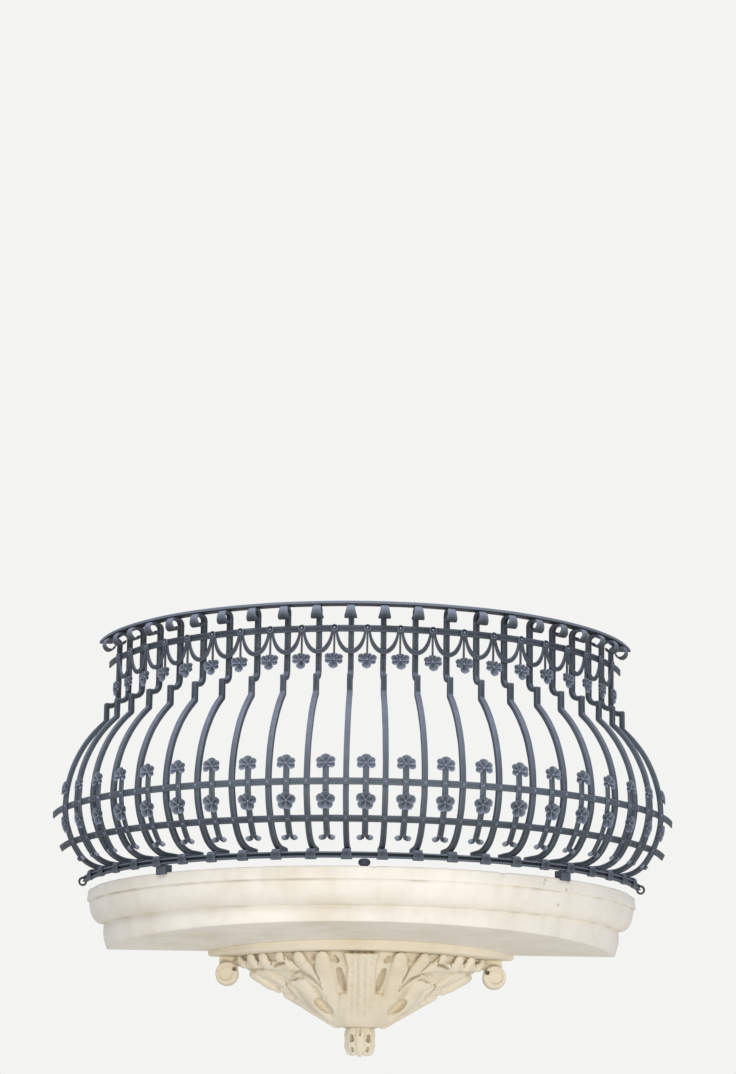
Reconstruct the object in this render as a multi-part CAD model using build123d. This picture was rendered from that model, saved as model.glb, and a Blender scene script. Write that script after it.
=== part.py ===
from build123d import *
import os
from math import acos, asin, atan, cos, degrees, pi, radians, sin, sqrt

# Wrought iron balcony: a bowed railing of bellied balusters on a moulded
# half-round slab, carried by a carved corbel. All sizes are in millimetres.
# +X is to the right, -Y is out from the wall and +Z is up. The origin is the
# middle of the slab's back face, in the plane of the wall.

# Plan: every rail and the slab share one upright axis behind the wall
AXIS_BEHIND_WALL = 220.0
SLAB_RADIUS = 1036.0
BALUSTERS_EACH_SIDE = 11
END_BAR_OFF_WALL = 105.0
SEAT = 0.3
CUT_MARGIN = 1.0

# Slab, with a soffit that slopes down towards the wall
SLAB_FRONT_HEIGHT = 184.0
SLAB_WALL_HEIGHT = 220.0
TOP_FILLET_HEIGHT = 45.0
TOP_FILLET_STEP = 8.0
OVOLO_HEIGHT = 83.0
OVOLO_PROJECTION = 50.0
LOWER_FILLET_STEP = 5.0
LOWER_BAND_BULGE = 7.0
SOFFIT_SET_BACK = 78.0

# Handrail
HANDRAIL_OUTSET = 20.0
HANDRAIL_WIDTH = 48.0
HANDRAIL_THICKNESS = 11.0
HANDRAIL_UNDERSIDE = 923.0
HANDRAIL_EDGE_CHAMFER = 2.5

# Flat bands that tie the balusters
BAND_HEIGHT = 24.0
BAND_THICKNESS = 6.0
UPPER_BAND_BELOW_RAIL = 80.0
UPPER_BELLY_BAND_LEVEL = 273.0
BELLY_BAND_SPACING = 122.0

# Bottom ring and its feet
RING_OVERHANG = 8.0
RING_BAR = 20.0
RING_LEVEL = 37.0
RING_SCROLL_DIAMETER = 37.0
RING_SCROLL_BAR = 8.0
RING_SCROLL_WIDTH = 14.0
RING_SCROLL_OUT = 8.0
RING_SCROLL_DROP = 10.0
FOOT_WIDTH = 46.0
FOOT_SEAT_LENGTH = 24.0
FOOT_LIP_THICKNESS = 12.0
FOOT_LIP_DROP = 8.0
FOOT_BAY = 6.4
KNOB_DIAMETER = 42.0
KNOB_NECK_DIAMETER = 30.0
KNOB_SHOULDER = 9.0

# Balusters, by the outer face of the bar
BAR_WIDTH = 20.0
BAR_DEPTH = 18.0
RUN_SET_BACK = 58.0
DROP_OUT = 42.0
BELLY_OUT = 144.0
LEDGE_BELOW_RAIL = 247.0
LEDGE_LENGTH = 20.0
DROP_HEIGHT = 65.0
BELLY_HEIGHT = 286.0
LOWER_ARC = 300.0
SWEEP_ARC = 129.0
TAIL_UNDERSIDE = 56.0
TAIL_LENGTH = 95.0
CURL_RADIUS = 25.0
CURL_SET_OUT = 4.0
CURL_TIP_THICKNESS = 6.0
CURL_CROWN_THICKNESS = 9.0
CURL_TIP_ANGLE = -125.0
CURL_NECK_WIDTH = 23.0
CURL_TIP_WIDTH = 44.0
WRAP_THICKNESS = 7.0
WRAP_TOP_WIDTH = 30.0
WRAP_FOOT_WIDTH = 41.0
WRAP_REACH = 10.0
WRAP_ARM = 42.0
WRAP_RISE = 11.0
WRAP_CORNER = 4.0
WRAP_HOOK_THICKNESS = 7.0

# Festoons, pendants and their eyes
FESTOON_BAR = 10.0
FESTOON_THICKNESS = 8.0
FESTOON_DROP = 87.0
STEM_WIDTH = 8.0
EYE_DIAMETER = 25.0
EYE_THICKNESS = 5.0
EYE_SIDE_COUNT = 8
PENDANT_DROP = 113.0

# Flowers and flower bars
FLOWER_RADIUS = 32.0
FLOWER_HEART_RADIUS = 11.0
FLOWER_THICKNESS = 12.0
FLOWER_SINK = 1.0
PETALS = 5
PETAL_TIP_TURN = 9.0
PETAL_SIDE_TURN = 21.0
PETAL_SIDE_RADIUS = 24.0
STRIP_WIDTH = 22.0
STRIP_THICKNESS = 6.0
TOP_FLOWER_RISE = 60.0
STRIP_FOOT_FALL = 61.0
STRIP_SCROLL_DIAMETER = 21.0
STRIP_SCROLL_SPREAD = 36.0
STRIP_SCROLL_SIDE_COUNT = 8

# Moulding between the slab and the corbel
BED_RADIUS = 634.0
BED_PROJECTION = 340.0
BED_DEPTH = 240.0
BED_STEP = 12.0

# Corbel: depth below the bed, half width at the wall and projection
CORBEL_STATIONS = (
    (0.0, 515.0, 318.0),
    (30.0, 462.0, 297.0),
    (63.0, 410.0, 268.0),
    (119.0, 325.0, 221.0),
    (190.0, 205.0, 165.0),
    (231.0, 125.0, 124.0),
    (256.0, 66.0, 96.0),
)
LOBES_EACH_SIDE = 4
LOBE_RELIEF = 22.0
LEAF_HALF_WIDTH = 54.0
LEAF_RAISE = 12.0
REEDS_EACH_SIDE = 2
REED_RELIEF = 4.0
VOLUTE_DIAMETER = 92.0
VOLUTE_DEPTH = 74.0
VOLUTE_OUT = 490.0
VOLUTE_DROP = 64.0
VOLUTE_NECK_IN = 440.0
VOLUTE_NECK_OUT = 549.0
VOLUTE_RIM = 13.0
VOLUTE_GROOVE = 8.0
VOLUTE_GROOVE_DEPTH = 9.0
VOLUTE_HOLE_DIAMETER = 16.0

# Bud under the corbel: depth and radius
BUD_STATIONS = ((0.0, 50.0), (14.0, 58.0), (46.0, 62.0), (78.0, 49.0), (98.0, 29.0), (110.0, 9.0))
BUD_LOBE_COUNT = 8
BUD_VALLEY = 0.86
BUD_SET_OUT = 46.0

SLAB_TOP = SLAB_WALL_HEIGHT / 2
WALL_SPAN = 4 * SLAB_RADIUS
RING_RADIUS = SLAB_RADIUS + RING_OVERHANG
RUN_RADIUS = SLAB_RADIUS - RUN_SET_BACK
DROP_RADIUS = RUN_RADIUS + DROP_OUT
BELLY_RADIUS = DROP_RADIUS + BELLY_OUT
HANDRAIL_RADIUS = RUN_RADIUS + HANDRAIL_OUTSET
UPPER_BAND_LEVEL = HANDRAIL_UNDERSIDE - UPPER_BAND_BELOW_RAIL
LEDGE_LEVEL = HANDRAIL_UNDERSIDE - LEDGE_BELOW_RAIL
DROP_FOOT_LEVEL = LEDGE_LEVEL - DROP_HEIGHT
LOWER_BELLY_BAND_LEVEL = UPPER_BELLY_BAND_LEVEL - BELLY_BAND_SPACING
TOP_FLOWER_LEVEL = UPPER_BELLY_BAND_LEVEL + TOP_FLOWER_RISE
STRIP_FOOT_LEVEL = LOWER_BELLY_BAND_LEVEL - STRIP_FOOT_FALL
END_ANGLE = degrees(acos((AXIS_BEHIND_WALL + END_BAR_OFF_WALL) / RUN_RADIUS))
BAY_ANGLE = END_ANGLE / (BALUSTERS_EACH_SIDE - 0.5)
HALF_BAY = radians(BAY_ANGLE / 2)


def level(height):
    """Height above the slab, as a height in the part's own frame."""
    return SLAB_TOP + height


def place(piece, bay):
    """Carry a piece drawn with +X outwards to its bay on the common axis."""
    return Pos(0, AXIS_BEHIND_WALL, 0) * Rot(0, 0, bay * BAY_ANGLE - 90) * piece


def upright(flat):
    """Turn a drawing made with Y as height into the upright plane."""
    return Rot(90, 0, 0) * flat


def street_side(piece):
    """Keep only what stands in front of the wall."""
    keep = Pos(0, -WALL_SPAN / 2, 0) * Box(WALL_SPAN, WALL_SPAN, WALL_SPAN)
    return piece & keep


def swept_rail(section):
    """Turn a rail section about the common axis and trim it at the wall."""
    return street_side(Pos(0, AXIS_BEHIND_WALL, 0) * revolve(upright(section), Axis.Z))


def arc_through(depth, rise):
    """Radius and angle of an arc that leaves upright and moves in by depth."""
    angle = 2 * atan(depth / rise)
    return rise / sin(angle), degrees(angle)


UPPER_ARC, UPPER_TURN = arc_through(BELLY_RADIUS - DROP_RADIUS, DROP_FOOT_LEVEL - BELLY_HEIGHT)
WRAP_INNER = RING_RADIUS + RING_BAR / 2 + SEAT
WRAP_OUTER = WRAP_INNER + WRAP_THICKNESS
WRAP_TOP = RING_LEVEL + RING_BAR / 2 + WRAP_RISE
HOOK_TOP = RING_LEVEL - RING_BAR / 2 - SEAT
WRAP_FOOT = HOOK_TOP - WRAP_HOOK_THICKNESS
SWEEP_LEVEL = TAIL_UNDERSIDE + SWEEP_ARC
LOWER_TURN = degrees(asin((BELLY_HEIGHT - SWEEP_LEVEL) / (LOWER_ARC - SWEEP_ARC)))
SWEEP_REACH = BELLY_RADIUS - LOWER_ARC + (LOWER_ARC - SWEEP_ARC) * cos(radians(LOWER_TURN))
SWEEP_TOP = SWEEP_LEVEL - SWEEP_ARC * sin(radians(LOWER_TURN))
WRAP_ROOT = SWEEP_REACH + sqrt(SWEEP_ARC**2 - (SWEEP_LEVEL - WRAP_TOP) ** 2)
BAND_INNER = RUN_RADIUS + SEAT
BAND_OUTER = BAND_INNER + BAND_THICKNESS
STRIP_OFFSET = 2 * SEAT + BAND_THICKNESS


def belly_point(height, offset=0.0):
    """Point off the bar's outer face at a height, with the tilt of the face there."""
    middle, centre, radius = BELLY_RADIUS - UPPER_ARC, BELLY_HEIGHT, UPPER_ARC
    if height < SWEEP_TOP:
        middle, centre, radius = SWEEP_REACH, SWEEP_LEVEL, SWEEP_ARC
    elif height < BELLY_HEIGHT:
        middle, centre, radius = BELLY_RADIUS - LOWER_ARC, BELLY_HEIGHT, LOWER_ARC
    tilt = asin((height - centre) / radius)
    reach = radius + offset
    return middle + reach * cos(tilt), centre + reach * sin(tilt), degrees(tilt)


def facing(piece, reach, height, tilt=0.0):
    """Stand a piece drawn flat so that it faces outwards at a radius and height."""
    out = (cos(radians(tilt)), 0, sin(radians(tilt)))
    return Plane((reach, 0, level(height)), x_dir=(0, 1, 0), z_dir=out).location * piece


def outline(*edges):
    """A flat face inside a closed chain of lines and arcs."""
    return Face(Wire(edges))


def slab():
    """Half-round slab with a moulded edge and a sloping soffit."""
    top = level(0)
    ovolo_top = top - TOP_FILLET_HEIGHT
    ovolo_foot = ovolo_top - OVOLO_HEIGHT
    deepest = level(-SLAB_WALL_HEIGHT)
    ovolo_edge = SLAB_RADIUS - TOP_FILLET_STEP
    band_top = ovolo_edge - OVOLO_PROJECTION - LOWER_FILLET_STEP
    soffit_edge = SLAB_RADIUS - SOFFIT_SET_BACK
    fillet = Polyline(
        (0, deepest), (0, top), (SLAB_RADIUS, top), (SLAB_RADIUS, ovolo_top), (ovolo_edge, ovolo_top)
    )
    ovolo_in = ovolo_edge - OVOLO_PROJECTION
    fullest = (ovolo_in + OVOLO_PROJECTION * cos(pi / 4), ovolo_top - OVOLO_HEIGHT * sin(pi / 4))
    ovolo = ThreePointArc((ovolo_edge, ovolo_top), fullest, (ovolo_in, ovolo_foot))
    step = Line((ovolo_in, ovolo_foot), (band_top, ovolo_foot))
    bulge_at = ((band_top + soffit_edge) / 2 + LOWER_BAND_BULGE, (ovolo_foot + deepest) / 2)
    band = ThreePointArc((band_top, ovolo_foot), bulge_at, (soffit_edge, deepest))
    under = Line((soffit_edge, deepest), (0, deepest))
    section = outline(*fillet.edges(), ovolo, step, band, under)
    disc = revolve(upright(section), Axis.Z)
    return street_side(Pos(0, AXIS_BEHIND_WALL, 0) * disc) - below_soffit()


def soffit_height(projection):
    """Height of the sloping soffit at a distance out from the wall."""
    reach = SLAB_RADIUS - SOFFIT_SET_BACK - AXIS_BEHIND_WALL
    slope = (SLAB_WALL_HEIGHT - SLAB_FRONT_HEIGHT) / reach
    return level(slope * projection - SLAB_WALL_HEIGHT)


def below_soffit():
    """Everything lower than the slab's sloping soffit."""
    far = 2 * SLAB_RADIUS
    wedge = Polyline(
        (-far, soffit_height(-far)), (far, soffit_height(far)), (far, -far), (-far, -far), close=True
    )
    return Rot(0, 0, -90) * extrude(upright(outline(*wedge.edges())), far, both=True)


def handrail():
    """Flat bar with chamfered edges."""
    bar = chamfer(Rectangle(HANDRAIL_WIDTH, HANDRAIL_THICKNESS).vertices(), HANDRAIL_EDGE_CHAMFER)
    middle = level(HANDRAIL_UNDERSIDE) + HANDRAIL_THICKNESS / 2
    return swept_rail(Pos(HANDRAIL_RADIUS, middle) * bar)


def flat_band(reach, height, tilt=0.0):
    """Flat band standing on edge outside the balusters, square to their face."""
    section = Rectangle(BAND_THICKNESS, BAND_HEIGHT)
    return swept_rail(Pos(reach, level(height)) * Rot(0, 0, tilt) * section)


def belly_band(height):
    """Band that lies on the belly at a height."""
    reach, middle, tilt = belly_point(height, SEAT + BAND_THICKNESS / 2)
    return flat_band(reach, middle, tilt)


def bottom_ring():
    """Square ring under the balusters, rolled into a small scroll at each end."""
    ring = swept_rail(Pos(RING_RADIUS, level(RING_LEVEL)) * Rectangle(RING_BAR, RING_BAR))
    end = sqrt(RING_RADIUS**2 - AXIS_BEHIND_WALL**2)
    eye = Circle(RING_SCROLL_DIAMETER / 2) - Circle(RING_SCROLL_DIAMETER / 2 - RING_SCROLL_BAR)
    roll = Rot(90, 0, 0) * extrude(eye, RING_SCROLL_WIDTH)
    for side in (-1, 1):
        ring += Pos(side * (end + RING_SCROLL_OUT), 0, level(RING_LEVEL) - RING_SCROLL_DROP) * roll
    return ring


def foot_block():
    """Block on the slab that laps over its edge and carries the ring, stepped under the wraps."""
    lap = SLAB_RADIUS + SEAT
    step = WRAP_FOOT - SEAT
    seat_edge = WRAP_INNER - WRAP_REACH - SEAT
    side = Polyline(
        (SLAB_RADIUS - FOOT_SEAT_LENGTH, 0),
        (lap, 0),
        (lap, -FOOT_LIP_DROP),
        (lap + FOOT_LIP_THICKNESS, -FOOT_LIP_DROP),
        (lap + FOOT_LIP_THICKNESS, step),
        (seat_edge, step),
        (seat_edge, HOOK_TOP),
        (SLAB_RADIUS - FOOT_SEAT_LENGTH, HOOK_TOP),
        close=True,
    )
    block = extrude(outline(*side.edges()), FOOT_WIDTH / 2, both=True)
    return Pos(0, 0, level(0)) * upright(block)


def foot_knob():
    """Turned knob between the ring and the slab."""
    height = HOOK_TOP
    neck = KNOB_NECK_DIAMETER / 2
    belly = KNOB_DIAMETER / 2
    side = Polyline(
        (0, 0),
        (neck, 0),
        (belly, KNOB_SHOULDER),
        (belly, height - KNOB_SHOULDER),
        (neck, height),
        (0, height),
        close=True,
    )
    knob = revolve(upright(outline(*side.edges())), Axis.Z)
    return Pos(SLAB_RADIUS - neck, 0, level(0)) * knob


def baluster_side():
    """Side outline of one baluster, from its curl down to the tail over its wrap on the ring."""
    run_in = RUN_RADIUS - BAR_DEPTH
    fillet = DROP_RADIUS - LEDGE_LENGTH - RUN_RADIUS
    bend = (RUN_RADIUS + fillet, LEDGE_LEVEL + fillet)
    drop_in = DROP_RADIUS - BAR_DEPTH
    upper_mid = (BELLY_RADIUS - UPPER_ARC, BELLY_HEIGHT)
    lower_mid = (BELLY_RADIUS - LOWER_ARC, BELLY_HEIGHT)
    sweep_mid = (SWEEP_REACH, SWEEP_LEVEL)
    inner_turn = degrees(acos((drop_in - upper_mid[0]) / (UPPER_ARC - BAR_DEPTH)))

    crown = HANDRAIL_UNDERSIDE - SEAT
    curl_mid = (RUN_RADIUS + CURL_RADIUS + CURL_SET_OUT, crown - CURL_RADIUS)
    hole_radius = CURL_RADIUS - (CURL_CROWN_THICKNESS + CURL_TIP_THICKNESS) / 2
    hole_top = crown - CURL_CROWN_THICKNESS
    hole_mid = (curl_mid[0], hole_top - hole_radius)
    throat = (curl_mid[0] - RUN_RADIUS) / 2

    shoulder_mid = (run_in + CURL_RADIUS, crown - CURL_RADIUS)
    shoulder = CenterArc(shoulder_mid, CURL_RADIUS, 180, -90)
    top = Line(shoulder @ 1, (curl_mid[0], crown))
    curl_back = CenterArc(curl_mid, CURL_RADIUS, 90, CURL_TIP_ANGLE - 90)
    curl_hole = CenterArc(hole_mid, hole_radius, CURL_TIP_ANGLE, 90 - CURL_TIP_ANGLE)
    tip = Line(curl_back @ 1, curl_hole @ 0)
    roof = Line(curl_hole @ 1, (RUN_RADIUS + throat, hole_top))
    throat_arc = CenterArc((RUN_RADIUS + throat, hole_top - throat), throat, 90, 90)

    run_face = Line(throat_arc @ 1, (RUN_RADIUS, bend[1]))
    kick_face = CenterArc(bend, fillet, 180, 90)
    ledge = Line(kick_face @ 1, (DROP_RADIUS, LEDGE_LEVEL))
    drop_face = Line(ledge @ 1, (DROP_RADIUS, DROP_FOOT_LEVEL))
    belly_upper = CenterArc(upper_mid, UPPER_ARC, UPPER_TURN, -UPPER_TURN)
    belly_lower = CenterArc(lower_mid, LOWER_ARC, 0, -LOWER_TURN)

    root_turn = -degrees(acos((WRAP_ROOT - SWEEP_REACH) / SWEEP_ARC))
    neck_turn = -degrees(acos((WRAP_INNER - WRAP_ARM - SWEEP_REACH) / SWEEP_ARC))
    sweep_face = CenterArc(sweep_mid, SWEEP_ARC, -LOWER_TURN, root_turn + LOWER_TURN)
    sweep_foot = CenterArc(sweep_mid, SWEEP_ARC, neck_turn, -90 - neck_turn)
    ring_top = RING_LEVEL + RING_BAR / 2 + SEAT
    wrap = Polyline(
        sweep_face @ 1,
        (WRAP_OUTER - WRAP_CORNER, WRAP_TOP),
        (WRAP_OUTER, WRAP_TOP - WRAP_CORNER),
        (WRAP_OUTER, WRAP_FOOT + WRAP_CORNER),
        (WRAP_OUTER - WRAP_CORNER, WRAP_FOOT),
        (WRAP_INNER - WRAP_REACH, WRAP_FOOT),
        (WRAP_INNER - WRAP_REACH, HOOK_TOP),
        (WRAP_INNER, HOOK_TOP),
        (WRAP_INNER, ring_top),
        (WRAP_INNER - WRAP_ARM, ring_top),
        sweep_foot @ 0,
    )
    tail = Polyline(
        sweep_foot @ 1,
        (RING_RADIUS - TAIL_LENGTH, TAIL_UNDERSIDE),
        (RING_RADIUS - TAIL_LENGTH, TAIL_UNDERSIDE + BAR_DEPTH),
        (SWEEP_REACH, TAIL_UNDERSIDE + BAR_DEPTH),
    )
    sweep_back = CenterArc(sweep_mid, SWEEP_ARC - BAR_DEPTH, -90, 90 - LOWER_TURN)
    inner_lower = CenterArc(lower_mid, LOWER_ARC - BAR_DEPTH, -LOWER_TURN, LOWER_TURN)
    inner_upper = CenterArc(upper_mid, UPPER_ARC - BAR_DEPTH, 0, inner_turn)
    drop_back = Line(inner_upper @ 1, (drop_in, LEDGE_LEVEL - BAR_DEPTH))
    ledge_under = Line(drop_back @ 1, (bend[0], LEDGE_LEVEL - BAR_DEPTH))
    kick_back = CenterArc(bend, fillet + BAR_DEPTH, 270, -90)
    run_back = Line(kick_back @ 1, shoulder @ 0)
    edges = [shoulder, top, curl_back, tip, curl_hole, roof, throat_arc, run_face, kick_face]
    edges += [ledge, drop_face, belly_upper, belly_lower, sweep_face, *wrap.edges(), sweep_foot]
    edges += [*tail.edges(), sweep_back, inner_lower, inner_upper]
    edges += [drop_back, ledge_under, kick_back, run_back]
    return outline(*edges)


def flare(reach_in, reach_out, top, foot, top_width, foot_width):
    """Wedge that widens downwards, seen from the street."""
    front = Polyline(
        (-top_width / 2, top),
        (top_width / 2, top),
        (foot_width / 2, foot),
        (-foot_width / 2, foot),
        close=True,
    )
    prism = extrude(outline(*front.edges()), reach_out - reach_in)
    return Plane((reach_in, 0, 0), x_dir=(0, 1, 0), z_dir=(1, 0, 0)).location * prism


def baluster():
    """Square bar with a flared curl at the head and a flared wrap at the foot."""
    side = baluster_side()
    bar = upright(extrude(side, BAR_WIDTH / 2, both=True))
    wide = upright(extrude(side, CURL_TIP_WIDTH / 2, both=True))
    past = BELLY_RADIUS + CUT_MARGIN
    crown = HANDRAIL_UNDERSIDE - SEAT
    curl_foot = crown - 2 * CURL_RADIUS
    curl = wide & flare(RUN_RADIUS, past, crown, curl_foot, CURL_NECK_WIDTH, CURL_TIP_WIDTH)
    wrap = wide & flare(WRAP_ROOT, past, WRAP_TOP, WRAP_FOOT, WRAP_TOP_WIDTH, WRAP_FOOT_WIDTH)
    return Pos(0, 0, level(0)) * (bar + curl + wrap)


def festoon():
    """U-shaped bar hung from two eyes in front of one baluster."""
    leg_out = (BAND_OUTER * sin(HALF_BAY) - STEM_WIDTH / 2 - SEAT) / cos(HALF_BAY)
    leg_in = leg_out - FESTOON_BAR
    drop = FESTOON_DROP - (leg_out + leg_in) / 2
    back = sqrt(BAND_OUTER**2 - leg_in**2) + SEAT
    bow = Circle(leg_out) - Circle(leg_in)
    bow &= Pos(0, -leg_out) * Rectangle(3 * leg_out, 2 * leg_out)
    for side in (-1, 1):
        bow += Pos(side * (leg_out + leg_in) / 2, drop / 2) * Rectangle(FESTOON_BAR, drop)
    bar = extrude(Pos(0, -drop) * bow, FESTOON_THICKNESS)
    return facing(bar, back, UPPER_BAND_LEVEL), back, leg_out


def flower():
    """Five-petalled flower as a flat-faced block, drawn with few sides."""
    half_petal = 180 / PETALS
    corners = ((-half_petal, FLOWER_HEART_RADIUS), (-PETAL_SIDE_TURN, PETAL_SIDE_RADIUS))
    corners += ((-PETAL_TIP_TURN, FLOWER_RADIUS), (PETAL_TIP_TURN, FLOWER_RADIUS))
    corners += ((PETAL_SIDE_TURN, PETAL_SIDE_RADIUS),)
    points = []
    for petal in range(PETALS):
        for turn, reach in corners:
            angle = radians(90 + 2 * half_petal * petal + turn)
            points.append((reach * cos(angle), reach * sin(angle)))
    return extrude(outline(*Polyline(*points, close=True).edges()), FLOWER_THICKNESS)


def pendant():
    """Eye over two festoon ends, with a flower hung from it on a stem."""
    _, back, leg_out = festoon()
    front = (back + FESTOON_THICKNESS) * cos(HALF_BAY) + leg_out * sin(HALF_BAY) + SEAT
    start = BAND_OUTER + SEAT
    hub = facing(extrude(Rectangle(STEM_WIDTH, STEM_WIDTH), front - start), start, UPPER_BAND_LEVEL)
    disc = extrude(RegularPolygon(EYE_DIAMETER / 2, EYE_SIDE_COUNT), EYE_THICKNESS)
    eye = facing(disc, front, UPPER_BAND_LEVEL)
    shank = extrude(Pos(0, -PENDANT_DROP / 2) * Rectangle(STEM_WIDTH, PENDANT_DROP), STEM_WIDTH)
    stem = facing(shank, front - STEM_WIDTH, UPPER_BAND_LEVEL)
    head = facing(Rot(0, 0, 180) * flower(), front - STEM_WIDTH / 2, UPPER_BAND_LEVEL - PENDANT_DROP)
    return hub + eye + stem + head


def flower_bar():
    """Strip over both belly bands, with a flower, a rosette and a scrolled foot."""
    upper_mid = (BELLY_RADIUS - UPPER_ARC, BELLY_HEIGHT)
    lower_mid = (BELLY_RADIUS - LOWER_ARC, BELLY_HEIGHT)
    sweep_mid = (SWEEP_REACH, SWEEP_LEVEL)
    head_turn = belly_point(TOP_FLOWER_LEVEL)[2]
    foot_turn = belly_point(STRIP_FOOT_LEVEL)[2]
    edges = []
    for offset in (STRIP_OFFSET, STRIP_OFFSET + STRIP_THICKNESS):
        edges.append(CenterArc(upper_mid, UPPER_ARC + offset, 0, head_turn))
        edges.append(CenterArc(lower_mid, LOWER_ARC + offset, 0, -LOWER_TURN))
        edges.append(CenterArc(sweep_mid, SWEEP_ARC + offset, -LOWER_TURN, foot_turn + LOWER_TURN))
    edges.append(Line(edges[0] @ 1, edges[3] @ 1))
    edges.append(Line(edges[2] @ 1, edges[5] @ 1))
    strip = Pos(0, 0, level(0)) * upright(extrude(outline(*edges), STRIP_WIDTH / 2, both=True))
    face = STRIP_OFFSET + STRIP_THICKNESS - FLOWER_SINK
    middle = (UPPER_BELLY_BAND_LEVEL + LOWER_BELLY_BAND_LEVEL) / 2
    for height in (TOP_FLOWER_LEVEL, middle):
        reach, rise, tilt = belly_point(height, face)
        strip += facing(flower(), reach, rise, tilt)
    reach, rise, tilt = belly_point(STRIP_FOOT_LEVEL, STRIP_OFFSET)
    for side in (-1, 1):
        roll = extrude(RegularPolygon(STRIP_SCROLL_DIAMETER / 2, STRIP_SCROLL_SIDE_COUNT), STRIP_THICKNESS)
        strip += facing(Pos(side * STRIP_SCROLL_SPREAD / 2, 0) * roll, reach, rise, tilt)
    return strip


def bed_mould():
    """Bowed moulding between the corbel and the soffit."""
    foot = level(-BED_DEPTH)
    lip = foot + BED_STEP
    top = level(0) - SLAB_FRONT_HEIGHT
    edge = BED_RADIUS - BED_STEP
    cove = CenterArc((BED_RADIUS, foot), BED_STEP, 180, -90)
    rim = Polyline((BED_RADIUS, lip), (BED_RADIUS, top), (0, top), (0, foot), (edge, foot))
    disc = revolve(upright(outline(cove, *rim.edges())), Axis.Z)
    disc = street_side(Pos(0, BED_RADIUS - BED_PROJECTION, 0) * disc)
    return disc & below_soffit()


def scallops(start, end, count, radius, relief):
    """Points along an arc about the bow's centre, in convex lobes with valleys between."""
    points = []
    for lobe in range(count):
        for share in (0.0, 0.2, 0.5, 0.8):
            angle = start + (end - start) * (lobe + share) / count
            points.append((radius - relief * (1 - sin(pi * share)), angle))
    return points


def corbel_slice(depth, half_width, projection):
    """Bowed slice of the corbel: a reeded middle leaf between scalloped lobes."""
    radius = (half_width**2 + projection**2) / (2 * projection)
    wall_angle = 2 * atan(projection / half_width)
    leaf_angle = asin(LEAF_HALF_WIDTH / radius)
    relief = LOBE_RELIEF * half_width / CORBEL_STATIONS[0][1]
    raised = radius + LEAF_RAISE
    polar = scallops(0, leaf_angle, REEDS_EACH_SIDE, raised, REED_RELIEF)
    polar.append((raised - REED_RELIEF, leaf_angle))
    polar += scallops(leaf_angle, wall_angle, LOBES_EACH_SIDE, radius, relief)
    right = [(reach * sin(angle), radius - projection - reach * cos(angle)) for reach, angle in polar]
    right.append((half_width, 0))
    left = [(-x, y) for x, y in reversed(right[1:])]
    rim = Polyline(*left, *right, close=True)
    return Pos(0, 0, level(-BED_DEPTH) - depth) * outline(*rim.edges())


def volute():
    """Scroll on a neck, with a sunk groove and a drilled eye in its face."""
    radius = VOLUTE_DIAMETER / 2
    neck = Polygon(
        (VOLUTE_NECK_IN, 0),
        (VOLUTE_OUT, -VOLUTE_DROP),
        (VOLUTE_OUT + radius, -VOLUTE_DROP),
        (VOLUTE_NECK_OUT, 0),
        align=None,
    )
    middle = Pos(VOLUTE_OUT, -VOLUTE_DROP)
    body = extrude(neck + middle * Circle(radius), VOLUTE_DEPTH)
    ring = Circle(radius - VOLUTE_RIM) - Circle(radius - VOLUTE_RIM - VOLUTE_GROOVE)
    cut = Pos(0, 0, VOLUTE_DEPTH - VOLUTE_GROOVE_DEPTH) * extrude(middle * ring, VOLUTE_DEPTH)
    cut += Pos(0, 0, VOLUTE_DEPTH / 2) * extrude(middle * Circle(VOLUTE_HOLE_DIAMETER / 2), VOLUTE_DEPTH)
    return Pos(0, 0, level(-BED_DEPTH)) * upright(body - cut)


def corbel():
    """Carved console: a fan of lobes round a reeded leaf, with a volute each side."""
    core = loft([corbel_slice(*station) for station in CORBEL_STATIONS], ruled=True)
    scroll = volute()
    return core + scroll + mirror(scroll, about=Plane.YZ)


def bud_slice(depth, radius):
    """Lobed slice of the bud."""
    half_lobe = pi / BUD_LOBE_COUNT
    points = []
    for corner in range(4 * BUD_LOBE_COUNT):
        reach = radius * (BUD_VALLEY if corner % 4 == 0 else 1.0)
        angle = half_lobe * corner / 2
        points.append((reach * cos(angle), reach * sin(angle)))
    return Pos(0, 0, -depth) * outline(*Polyline(*points, close=True).edges())


def finial():
    """Lobed bud hung from the corbel's foot, its back cut off at the wall."""
    bud = loft([bud_slice(*station) for station in BUD_STATIONS], ruled=True)
    foot = level(-BED_DEPTH) - CORBEL_STATIONS[-1][0]
    return street_side(Pos(0, -BUD_SET_OUT, foot) * bud)


def group(pieces):
    """Like pieces that share a node without touching."""
    return Compound(children=[solid for piece in pieces for solid in piece.solids()])


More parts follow.
